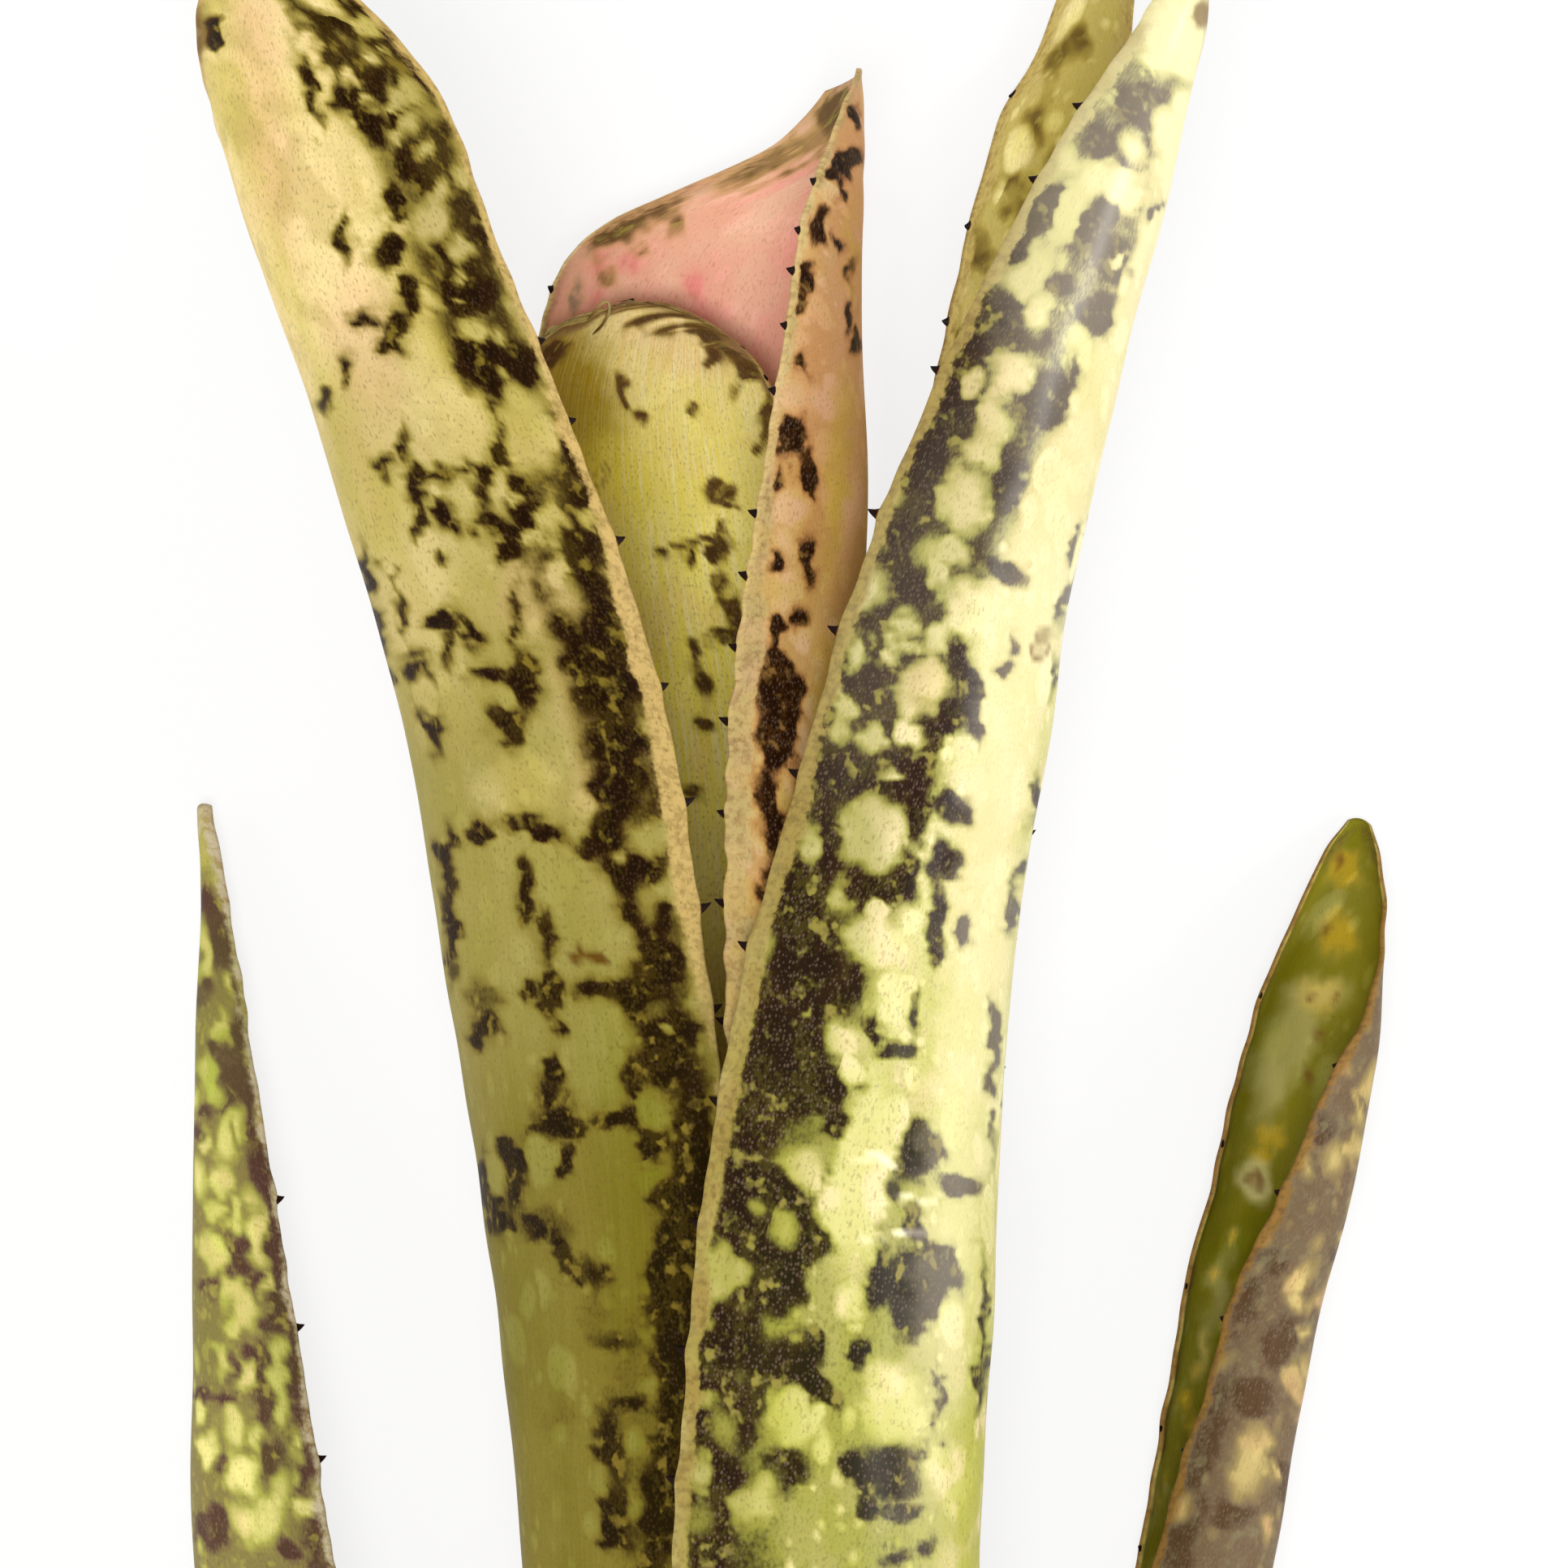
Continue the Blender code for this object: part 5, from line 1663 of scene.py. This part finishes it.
# What is laid on each face, each stroke over the ones before it, and each face's finish.
FRONT_RIGHT_MARKS = (
    dab(TONE, 0.06, (41, 168, 7.5, 24, -20), soft=5.0),
    dab(TONE, 0.34, (15.6, 114, 4.2, 12, -20), (20.5, 128, 3.4, 10, -22), soft=3.0),
    dab(TONE, 0.18, (29, 148, 4, 14, -24), (5.5, 88, 4, 16, -12), (-1, 30, 4.5, 40, -7), soft=3.0),
    dab(TONE, 0.5, (-2, 30, 3.4, 34, -6), soft=3.0),
    dab(TONE, -0.6, (52.8, 176, 2.6, 9, -18), (49.6, 165, 1.6, 6, -18), soft=2.4),
    dab(TONE, -0.2, (12, 20, 12, 40), soft=8.0),
    dab(TONE, -0.8, (54, 192, 8, 8)),
    dab(TONE, 0.34, *FRONT_RIGHT_FRECKLED),
    dab(TONE, 0.6, *FRONT_RIGHT_DARK),
    dab(
        TONE, 0.3, (12, -14, 5, 9, -8), (-1, -30, 4, 12), (15, -42, 4, 9), (3, -56, 5, 10), soft=3.0
    ),
    dab(TONE, 0.3, (10, -78, 4, 9), (-3, -84, 3, 9), (4, -104, 4, 8), soft=3.0),
    dab(TONE, -0.68, *FRONT_RIGHT_PALE),
    dab(GREEN, 0.85, (10, 4, 40, 62), soft=50.0),
    # Painted shade: a dark olive along the leaf's left side, which turns away from the light; green
    # is held back there so that the shade shows.
    dab(GREEN, 0.25, (-5, 10, 5, 50, -5), (3, 66, 5, 26, -12), soft=7.0),
    dab(GOLD_AND_SHADE, 0.85, (-3, 10, 7, 44, -4), (3, 54, 6, 30, -10), soft=8.0),
    dab(GOLD_AND_SHADE, 0.75, (9, 90, 9, 26, -12), soft=8.0),
    dab(GOLD_AND_SHADE, 0.6, (20, 124, 8, 26, -22), (33, 158, 5, 18, -24), soft=7.0),
    dab(
        GREEN, 0.9, (20, 52, 3, 3), (22, 34, 3), (3.5, 25, 5, 3), (17, 12, 4), (4, 12, 3), soft=4.0
    ),
    dab(
        BLUSH, 0.35, (47, 165, 4, 14, -17), (36, 128, 4, 18, -15), (29, 90, 3, 16, -8),
        (28, 146, 4, 14, -20), soft=4.0,
    ),
    dab(
        BLUSH, 0.35, (32.5, 148, 3, 3), (21.6, 109, 4, 3, 25), (46, 170, 2.4), (52, 189, 3),
        soft=5.0,
    ),
    # Painted highlight: these pale strokes wash out the top of the leaf and lay a pale streak down
    # it where the sheen falls. They also raise the coat there.
    dab(PALE, 0.1, (21, 122, 7, 26, -20), soft=8.0),
    dab(PALE, 0.5, (44, 168, 9, 26, -20), soft=9.0),
    dab(PALE, 0.45, (27.5, 70, 4, 60, -6), (37, 124, 4, 24, -14), soft=5.0),
    dab(
        PALE, 1.0, (15.9, 50.3, 2.8, 0.3, -2), (19.7, 45.4, 3.2, 0.34), (17.4, 41, 3.6, 0.3, 4),
        soft=0.5,
    ),
    dab(PALE, 0.7, (53.5, 191, 5, 5)),
    dab(DRY, 0.8, (35.8, 113.9, 1.3, 2, -10), (56, 191.3, 1.6, 2.2), soft=0.7),
    dab(DRY, 0.3, (35.9, 114.1, 0.8, 1.3, -10), soft=0.6),
)

FRONT_RIGHT_PAINT = Paint(
    ground=-0.5,
    band=0.7,
    band_margin=1,
    band_reach=17.0,
    strips=(
        (-60, 1, 0.9), (0, 1, 1), (50, 1, 1.2), (62, 1, 2), (95, 1, 1.8), (110, 1, 1),
        (190, 1, 0.9),
    ),
    strokes=FRONT_RIGHT_MARKS,
)

FRONT_RIGHT_SKIN = Skin(
    "front_right_outer",
    1.0,
    green_and_shade=tint(184, 184, 72),
    lime=tint(192, 190, 88),
    fringe=tint(118, 116, 42),
    # On this leaf the gold layer's colour is the olive of the painted shade along its left side.
    gold_and_shade=tint(140, 130, 52),
    rim=tint(156, 132, 66),
    stain=tint(118, 92, 46),
    cream=tint(253, 243, 186),
    blotch=tint(250, 224, 178),
    lime_share=0.6,
    blotch_share=0.6,
    scurf_share=0.4,
    # Under the pale strokes the dark mottles take this colour, a painted sheen.
    silver_sheen=tint(170, 158, 140),
    coat=0.4,
    coat_roughness=0.28,
)

FRONT_LEFT_MARKS = (
    dab(TONE, -0.3, (-20, 18, 16, 44, 6), soft=10.0),
    dab(TONE, -0.75, (-60, 180, 7, 24, 15), (-52, 152, 7, 22, 15), (-44, 128, 6, 16, 15)),
    dab(TONE, -0.22, *grown(FRONT_LEFT_DARK, 0.8)),
    dab(TONE, 0.04, (-29.8, 47, 2.8, 6), (-23.6, 57, 2.6, 4.6), (-24.6, 42.4, 3, 2), soft=2.4),
    dab(TONE, 0.04, (-13, 21, 4.4, 2.8), (-12.5, 9.3, 3.4, 8), (-32.4, 70, 2, 3), soft=2.4),
    dab(TONE, 0.75, *FRONT_LEFT_DARK),
    dab(
        TONE, 0.3, (-22, -13, 5, 9), (-10, -27, 4, 9), (-24, -40, 4, 9), (-14, -56, 5, 10), soft=3.0
    ),
    dab(TONE, 0.3, (-20, -78, 4, 9), (-9, -92, 3, 8), (-14, -112, 4, 8), soft=3.0),
    dab(TONE, 0.25, (-47, 187, 8, 4), (-37, 170, 3, 16, 22), (-25, 136, 3, 12, 22), soft=4.0),
    dab(TONE, -0.66, *FRONT_LEFT_PALE),
    # Painted shadow: a dark line on this leaf beside the front right leaf's margin, where that leaf
    # shades it.
    dab(TONE, 0.85, (-8.8, 34, 3.2, 25, -6), (-10.4, 8, 1.6, 14, -4), soft=3.0),
    dab(TONE, -0.1, (-14, 20, 3.4, 12, -4), (-18.5, 31.3, 2, 2.4), (-22.7, 18.8, 1.4, 2), soft=3.0),
    dab(
        TONE, 0.6, (-12.8, 21.2, 4.4, 1.2, 26), (-16.6, 15, 0.9, 2.6), (-15.6, 6.6, 1.1, 4),
        soft=2.0,
    ),
    dab(
        TONE, 0.35, (-18.6, 36, 1.3, 2.4, 30), (-16.4, 28, 2.2, 0.8), (-14.8, 61, 1.4, 3.4),
        soft=2.0,
    ),
    # Darker olive over the lower half: partly the leaf's own colour, partly painted shade.
    dab(GOLD_AND_SHADE, 0.85, (-26, 56, 44, 80, 14), soft=30.0),
    dab(GOLD_AND_SHADE, 0.45, (-43, 128, 9, 22, 13), soft=9.0),
    dab(
        GOLD_AND_SHADE, 0.55, (-27, 120, 4, 5), (-21.5, 112, 3, 8), (-19, 100, 2.6, 7), (-28, 96, 5, 4),
        soft=3.0,
    ),
    dab(
        BLUSH, 0.4, (-27, 120, 4, 5), (-21.5, 112, 3, 8), (-19, 100, 2.6, 7), (-33, 62, 4, 9),
        soft=3.0,
    ),
    dab(GOLD_AND_SHADE, 0.6, (-36, 168, 7, 30, 20), soft=6.0),
    # Darker green towards the foot, and most of all beside the front right leaf's margin: partly
    # the leaf's own green, partly painted shade.
    dab(GREEN, 0.75, (-18, -4, 40, 74), soft=30.0),
    dab(GREEN, 0.35, (-27, 4, 4, 16), soft=4.0),
    dab(GREEN, 1.0, (-9, 14, 8, 46, 4), soft=9.0),
    dab(
        BLUSH, 0.35, (-60, 186, 2.5, 9, 10), (-58, 172, 2.5, 8, 12), (-47, 150, 4, 10, 15), soft=4.0
    ),
    dab(DRY, 0.95, (-20.6, 76, 1, 1.3), (-18.6, 75.6, 1.1, 1.2), soft=1.0),
    dab(DRY, 0.8, (-67.4, 189, 1, 3)),
    dab(TONE, 0.7, (-65.8, 188.6, 1, 1.8)),
)

FRONT_LEFT_PAINT = Paint(
    ground=-0.62,
    band=0.9,
    strips=(
        (-60, 0.4, 1), (0, -0.6, 1), (50, -0.5, 1), (64, -0.2, 1), (74, 1.4, 1), (80, 1.7, 1),
        (108, 2.3, 1), (132, 0.7, 1), (170, 0.2, 1),
    ),
    strokes=FRONT_LEFT_MARKS,
)

FRONT_LEFT_SKIN = Skin(
    "front_left_outer",
    3.0,
    cream=tint(242, 218, 152),
    lime=tint(200, 182, 78),
    beige=tint(238, 206, 146),
    dark=tint(44, 24, 4),
    deep=tint(22, 9, 1),
    forest=tint(34, 28, 1),
    moss=tint(84, 68, 14),
    freckle=tint(132, 112, 38),
    blotch=tint(184, 160, 88),
    dry=tint(92, 58, 10),
    # A dark green, because this leaf's green layer carries painted shade towards the foot and
    # beside the overlap as well as its own green.
    green_and_shade=tint(110, 108, 16),
    gold_and_shade=tint(144, 135, 62),
    fringe=tint(112, 92, 28),
    rim=tint(204, 170, 106),
    stain=tint(156, 122, 74),
    shade=tint(92, 80, 30),
    scurf=tint(112, 84, 60),
    vein=tint(190, 177, 104),
    vein_share=0.2,
    softness=1.25,
    blotch_share=0.45,
    moss_share=0.3,
    scurf_share=0.18,
    rim_share=0.75,
)

PINK_INNER_PAINT = Paint(
    ground=-0.75,
    strips=((150, 0.3, 0.3), (160, 0.4, 0.3), (190, 0.8, 0.3)),
    strokes=(
        dab(
            TONE, 0.02, (-14.5, 166.6, 8, 2.6, 33), (10.5, 180.5, 3, 5), (12.5, 183, 2, 5), soft=2.6
        ),
        dab(TONE, 0.02, (4, 173.5, 8, 2.2, 24), soft=2.6),
        dab(
            TONE, 0.28, (-15, 165.8, 5.6, 1.7, 32), (-0.4, 173.2, 4, 2, 24), (12.4, 184.4, 2, 4),
            soft=2.2,
        ),
        dab(TONE, 0.45, *PINK_INNER_DARK, soft=2.2),
        dab(GREEN, 0.8, (3, 175.5, 9, 3.4, 25), (10, 180, 4, 6), (-15, 167, 7, 2.4, 33), soft=3.0),
        dab(BLUSH, 0.26, (9, 158, 5.5, 18), (-23, 157, 3.6, 8), (1, 156, 12, 7), soft=5.0),
        dab(BLUSH, 0.75, *PINK_INNER_HOT, soft=2.8),
        dab(PALE, 0.45, (-22, 157, 2, 9), (14.4, 185, 1.5, 2)),
    ),
)

PINK_STRIP_PAINT = Paint(
    ground=-0.42,
    strips=(
        (60, 1, 2), (98, 1, 2.2), (112, 1, 2.4), (122, 1, 1.6), (134, 1, 0.5), (150, 1, 0.1),
        (185, 1, 0.1),
    ),
    strokes=(
        dab(TONE, -0.34, (8.8, 165, 2.6, 15, -10), (6.5, 130, 2.6, 30, -4), soft=2.4),
        dab(TONE, -0.1, (4, 96, 4, 12), soft=2.4),
        dab(TONE, 0.6, *PINK_STRIP_DARK),
        dab(TONE, -0.66, *PINK_STRIP_PALE),
        dab(GREEN, 0.85, (5, 70, 16, 76), soft=40.0),
        dab(BLUSH, 0.7, (12.4, 150, 2.6, 36), (8, 142, 3, 18), (10.6, 120, 1.8, 10, -6), soft=2.4),
        dab(
            GOLD_AND_SHADE, 0.8, (10.6, 134, 1.4, 12, -4), (9.6, 108, 1.8, 8, -8), (12.2, 162, 0.7, 5),
            soft=1.8,
        ),
    ),
)

PINK_STRIP_SKIN = Skin(
    "pink_back_outer",
    5.0,
    # The pale colours are raised close to white to make up for the shade on this face: painted
    # light.
    cream=tint(255, 228, 176),
    lime=tint(255, 212, 138),
    beige=tint(255, 222, 184),
    blotch=tint(255, 200, 168),
    gold_and_shade=tint(244, 206, 90),
    pink=tint(255, 172, 132),
    green_and_shade=tint(206, 172, 66),
    fringe=tint(190, 120, 66),
    forest=tint(46, 22, 6),
    moss=tint(104, 66, 26),
    freckle=tint(160, 120, 60),
    rim=tint(206, 182, 118),
    stain=tint(156, 122, 74),
    shade=tint(150, 104, 58),
    vein=tint(248, 196, 138),
    spot_size=5.0,
)

PINK_INNER_SKIN = Skin(
    "pink_back_inner",
    6.0,
    cream=tint(252, 202, 172),
    lime=tint(248, 172, 152),
    beige=tint(252, 184, 164),
    pink=tint(244, 108, 132),
    dark=tint(120, 88, 58),
    deep=tint(96, 66, 44),
    moss=tint(140, 104, 56),
    fringe=tint(196, 158, 92),
    green_and_shade=tint(206, 178, 112),
    forest=tint(84, 74, 28),
    vein=tint(252, 190, 164),
    blotch=tint(250, 206, 178),
    rim=tint(196, 158, 108),
    stain=tint(120, 90, 60),
    shade=tint(196, 120, 92),
    rim_share=0.7,
    softness=1.6,
)

INNER_PAINT = Paint(
    ground=-0.55,
    strips=((0, 0.3, 0.3), (140, 0.3, 0.3), (149, 0.1, 0.1)),
    strokes=(
        dab(
            TONE, 0.4, (-13, 154.2, 9, 1.6, -6), (-1.8, 149.8, 6, 1.7, -44), (2.4, 144, 1.4, 3),
            soft=2.0,
        ),
        dab(TONE, 0.5, *INNER_DARK),
        dab(GOLD_AND_SHADE, 0.95, (-22, 143, 6, 11, 10), soft=6.0),
        # Painted light: the green strokes on this face lay the skin's raised green over the shaded
        # part of the roll.
        dab(GREEN, 0.95, (-16, 127, 6, 12, 10), soft=6.0),
        dab(BLUSH, 0.75, (-9, 151, 9, 3.6, -18), soft=5.0),
        dab(DRY, 0.7, (-18.3, 134.6, 1, 1.3), soft=0.6),
        dab(DRY, 0.0, (-18.3, 134.6, 0.6, 0.9), soft=0.5),
        dab(GREEN, 0.8, (-6, 100, 12, 34), soft=12.0),
        dab(BLUSH, 0.5, (-23.7, 151.6, 2.6, 1.6)),
        dab(DRY, 0.7, (-19, 154.6, 1.6, 1)),
    ),
)

INNER_SKIN = Skin(
    "inner_leaf_inner",
    8.0,
    # Cream, lime and green are raised close to white to make up for the shade deep in the roll:
    # painted light.
    cream=tint(255, 242, 156),
    lime=tint(244, 226, 104),
    beige=tint(255, 242, 172),
    green_and_shade=tint(250, 238, 84),
    gold_and_shade=tint(176, 150, 2),
    pink=tint(236, 196, 140),
    blotch=tint(242, 214, 116),
    rim=tint(140, 98, 66),
    stain=tint(92, 58, 46),
    vein=tint(255, 246, 190),
    moss=tint(120, 92, 34),
    freckle=tint(160, 140, 60),
    fringe=tint(150, 124, 44),
    dark=tint(98, 70, 38),
    deep=tint(74, 50, 22),
    vein_share=0.55,
)

BACK_RIGHT_PAINT = Paint(
    ground=-0.38,
    strips=((0, 0.8, 0.8),),
    strokes=(dab(TONE, 0.5, *BACK_RIGHT_DARK, soft=2.0),),
)

BACK_RIGHT_SKIN = Skin(
    "back_right_inner",
    12.0,
    cream=tint(252, 238, 164),
    lime=tint(224, 206, 102),
    beige=tint(240, 224, 140),
    fringe=tint(150, 126, 40),
    dark=tint(116, 94, 32),
    deep=tint(84, 60, 20),
    moss=tint(140, 118, 44),
    softness=1.8,
)

OUTER_LEFT_PAINT = Paint(
    ground=0.12,
    strips=((0, 0.1, 0.2), (92, 0.5, 0.5)),
    strokes=(
        dab(TONE, 0.7, (-58.6, 40, 1.3, 46, 8), soft=1.6),
        dab(TONE, 0.75, *OUTER_LEFT_DARK),
        dab(TONE, -0.8, *OUTER_LEFT_PALE),
        dab(TONE, -0.5, (-67, 92, 3, 6)),
        dab(GOLD_AND_SHADE, 0.5, (-66.5, 88, 3, 7)),
        dab(GREEN, 0.7, (-64, 68, 6, 12), (-66, 28, 2, 4), (-58, 22, 2, 12), soft=4.0),
    ),
)

OUTER_LEFT_SKIN = Skin(
    "outer_left_outer",
    13.0,
    cream=tint(244, 232, 146),
    lime=tint(190, 200, 78),
    beige=tint(232, 216, 128),
    blotch=tint(236, 206, 142),
    green_and_shade=tint(152, 168, 44),
    gold_and_shade=tint(190, 164, 84),
    dark=tint(104, 76, 62),
    deep=tint(78, 50, 42),
    forest=tint(98, 92, 44),
    fringe=tint(158, 152, 70),
    moss_share=0.2,
    rim=tint(196, 182, 156),
    spot_size=5.5,
    softness=2.0,
)

OUTER_RIGHT_BACK_PAINT = Paint(
    ground=0.3,
    unseen=0.1,
    strips=((0, 0.5, 0.5),),
    strokes=(
        dab(TONE, 0.9, *OUTER_RIGHT_BACK_DARK),
        dab(TONE, -0.7, *OUTER_RIGHT_BACK_PALE),
        dab(BLUSH, 0.6, (70.8, 32, 0.8, 2.2), (67, 20.5, 1, 2.2), (63.5, 5, 1), (72, 61, 1.5, 3)),
    ),
)

OUTER_RIGHT_PAINT = Paint(
    ground=-0.42,
    unseen=-0.3,
    strips=((0, 0.5, 0.5),),
    strokes=(
        dab(GREEN, 0.95, (62, 45, 20, 60, -14), soft=4.0),
        dab(GREEN, 0.1, *OUTER_RIGHT_GOLD),
        dab(GOLD_AND_SHADE, 0.9, *OUTER_RIGHT_GOLD),
        dab(PALE, 0.42, (64.5, 61.5, 2.2, 6, -14), (69.6, 70.6, 3.4, 1.6), soft=3.6),
        dab(PALE, 0.75, (62.2, 47.6, 1.8, 2.4), soft=2.2),
        dab(
            PALE, 0.3, (67.5, 66, 2.4, 5, -14), (57.6, 34, 1, 5, -12), (55.6, 27.6, 0.8, 3),
            soft=2.0,
        ),
        dab(DRY, 0.85, *OUTER_RIGHT_SCARS),
    ),
)

OUTER_RIGHT_BACK_SKIN = Skin(
    "outer_right_outer",
    15.0,
    cream=tint(206, 182, 118),
    lime=tint(162, 142, 78),
    beige=tint(196, 162, 102),
    blotch=tint(204, 158, 112),
    pink=tint(206, 150, 116),
    dark=tint(110, 90, 70),
    deep=tint(80, 56, 32),
    moss=tint(118, 106, 82),
    freckle=tint(142, 136, 98),
    fringe=tint(140, 120, 82),
    scurf=tint(140, 128, 112),
    rim=tint(136, 98, 44),
    stain=tint(92, 62, 30),
    freckle_share=0.35,
    scurf_share=0.3,
    spot_size=7.0,
    softness=1.8,
)

OUTER_RIGHT_SKIN = Skin(
    "outer_right_inner",
    16.0,
    # Cream and gold are raised to make up for the shade inside the fold: painted light.
    cream=tint(226, 214, 142),
    lime=tint(140, 134, 16),
    beige=tint(178, 168, 78),
    blotch=tint(156, 148, 40),
    vein=tint(150, 146, 40),
    green_and_shade=tint(124, 124, 8),
    gold_and_shade=tint(240, 196, 50),
    dark=tint(90, 80, 6),
    deep=tint(68, 60, 2),
    forest=tint(62, 66, 2),
    moss=tint(104, 96, 10),
    fringe=tint(116, 104, 8),
    rim=tint(116, 104, 36),
    stain=tint(96, 78, 34),
    scurf_share=0.15,
    softness=2.0,
)

# The inside of the two leaves that wrap the tube, and the plain finish of the smallest leaf.
TUBE_INSIDE = {"cream": tint(206, 204, 116), "lime": tint(160, 162, 70)}
HEART_COLOURS = {
    "cream": tint(190, 180, 84),
    "lime": tint(150, 148, 52),
    "beige": tint(196, 186, 104),
}
HEART_PAINT = Paint(ground=-0.7, unseen=-0.6)


@dataclass(frozen=True)
class Rosette:
    """The whole plant: the stem, and the leaves from the front ones to the outer ones."""

    stem: StemStub = StemStub()
    tooth_finish: ToothFinish = ToothFinish()

    @staticmethod
    def leaves() -> tuple[Leaf, ...]:
        """Pair each leaf's form with its finishes and paint.

        Returns:
            The two leaves that wrap the tube, the inner ones, then the outer ones.
        """
        right_inside = Skin("front_right_inner", 2.0, **TUBE_INSIDE)
        left_inside = Skin("front_left_inner", 4.0, **TUBE_INSIDE)
        pink = (PINK_STRIP_SKIN, PINK_INNER_SKIN, PINK_STRIP_PAINT, PINK_INNER_PAINT)
        yellow = (Skin("inner_leaf_outer", 7.0), INNER_SKIN, Paint(), INNER_PAINT)
        heart = (
            Skin("heart_outer", 9.0, **HEART_COLOURS),
            Skin("heart_inner", 10.0, **HEART_COLOURS),
            HEART_PAINT,
            HEART_PAINT,
        )
        behind = (Skin("back_right_outer", 11.0), BACK_RIGHT_SKIN, Paint(), BACK_RIGHT_PAINT)
        narrow = (OUTER_LEFT_SKIN, Skin("outer_left_inner", 14.0), OUTER_LEFT_PAINT)
        folded = (
            OUTER_RIGHT_BACK_SKIN,
            OUTER_RIGHT_SKIN,
            OUTER_RIGHT_BACK_PAINT,
            OUTER_RIGHT_PAINT,
        )
        return (
            Leaf(FRONT_RIGHT, FRONT_RIGHT_SKIN, right_inside, FRONT_RIGHT_PAINT, seed=1),
            Leaf(FRONT_LEFT, FRONT_LEFT_SKIN, left_inside, FRONT_LEFT_PAINT, seed=2),
            Leaf(PINK_BACK, *pink, seed=3),
            Leaf(INNER, *yellow, curls=(DriedCurl(),), seed=4),
            Leaf(HEART, *heart, seed=5),
            Leaf(BACK_RIGHT, *behind, seed=6),
            Leaf(OUTER_LEFT, *narrow, seed=7),
            Leaf(OUTER_RIGHT, *folded, seed=8),
        )

    def build(self) -> None:
        """Build the stem and every leaf."""
        self.stem.build()
        teeth = self.tooth_finish.material()
        for leaf in self.leaves():
            leaf.build(teeth)


@dataclass(frozen=True)
class Studio:
    """The floor, the lamps and the camera."""

    floor_size: float = 8.0
    world_level: float = 0.42

    def white_seen(self, r: Recipe) -> Wire:
        """Tell where a ray comes straight from the camera, a mirror or glass.

        Args:
            r: The material.

        Returns:
            The share of white that such a ray sees.
        """
        camera = r.add("ShaderNodeLightPath", output="Is Camera Ray")
        glossy = camera.other("Is Glossy Ray")
        return camera.most(glossy * 0.5).most(camera.other("Is Transmission Ray"))

    def build_floor(self) -> None:
        """Lay a pale floor that keeps a soft shadow."""
        half = self.floor_size / 2
        mesh = bpy.data.meshes.new("studio_floor")
        corners = [(-half, -half, 0), (half, -half, 0), (half, half, 0), (-half, half, 0)]
        mesh.from_pydata(corners, [], [(0, 1, 2, 3)])
        r = Recipe(bpy.data.materials.new("studio_floor"))
        r.finish(Base_Color=tint(246, 246, 245), Roughness=0.9)
        glow = r.add("ShaderNodeEmission", None, {"Color": (1, 1, 1, 1), "Strength": 1.0})
        share = self.white_seen(r) * 0.8
        base = Wire(r, r.surface.outputs[0])
        mixed = r.add("ShaderNodeMixShader", None, {0: share, 1: base, 2: glow})
        r.plug(mixed, r.nodes["Material Output"].inputs["Surface"])
        mesh.materials.append(r.owner)
        floor = bpy.data.objects.new("studio_floor", mesh)
        bpy.context.scene.collection.objects.link(floor)

    def build_world(self) -> None:
        """Light the scene evenly from all sides, against white."""
        bpy.context.scene.world = bpy.data.worlds.new("studio")
        r = Recipe(bpy.context.scene.world, "Background")
        camera = r.add("ShaderNodeLightPath", output="Is Camera Ray")
        sockets = {"Value": camera, "To Min": self.world_level, "To Max": 1.0}
        r.finish(Color=(1, 1, 1, 1), Strength=r.add("ShaderNodeMapRange", None, sockets))

    def add_lamp(
        self,
        name: str,
        place: Vector,
        aim: Vector,
        size: tuple[float, float],
        power: float,
        mirrored: bool = False,
    ) -> None:
        """Hang one soft lamp.

        Args:
            name: The lamp's name.
            place: Where it hangs.
            aim: The point that it faces.
            size: Its width and height.
            power: Its power in watts.
            mirrored: Whether it shows as a highlight.
        """
        lamp = bpy.data.lights.new(name, "AREA")
        lamp.shape = "RECTANGLE"
        lamp.size, lamp.size_y = size
        lamp.energy = power
        obj = bpy.data.objects.new(name, lamp)
        obj.location = place
        obj.rotation_euler = (aim - place).to_track_quat("-Z", "Y").to_euler()
        obj.visible_camera = False
        obj.visible_glossy = mirrored
        bpy.context.scene.collection.objects.link(obj)

    def build_camera(self) -> None:
        """Stand the camera straight above the rosette."""
        camera = bpy.data.cameras.new("camera")
        camera.sensor_width = 36.0
        camera.lens = 36.0 * VIEW_DISTANCE / VIEW_WIDTH
        camera.clip_end = 20.0
        obj = bpy.data.objects.new("camera", camera)
        centre = np.array((*VIEW_CENTRE, VIEW_DISTANCE)) + AXIS
        obj.location = centre * MM
        bpy.context.scene.collection.objects.link(obj)
        bpy.context.scene.camera = obj

    def build(self) -> None:
        """Set up the whole studio."""
        bpy.context.scene.view_settings.view_transform = "Standard"
        self.build_floor()
        self.build_world()
        middle = Vector((0.0, 0.07, 0.03))
        side = Vector((1.41, -0.26, 0.77))
        self.add_lamp("side_lamp", side, middle, (0.34, 0.34), 9.0, mirrored=True)
        self.add_lamp("top_lamp", Vector((-0.12, -0.3, 1.9)), middle, (0.7, 0.7), 22.5)
        self.add_lamp("left_lamp", Vector((-1.4, 0.15, 0.5)), middle, (1.0, 0.7), 7.0)
        self.add_lamp("right_lamp", Vector((1.3, 0.3, 0.45)), middle, (1.0, 0.7), 2.5)
        self.build_camera()


def main() -> None:
    """Build the studio and the rosette, and note the sizes."""
    logging.basicConfig(level=logging.INFO, format="%(name)s: %(message)s")
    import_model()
    Studio().build()
    Rosette().build()


if __name__ == "__main__":
    main()
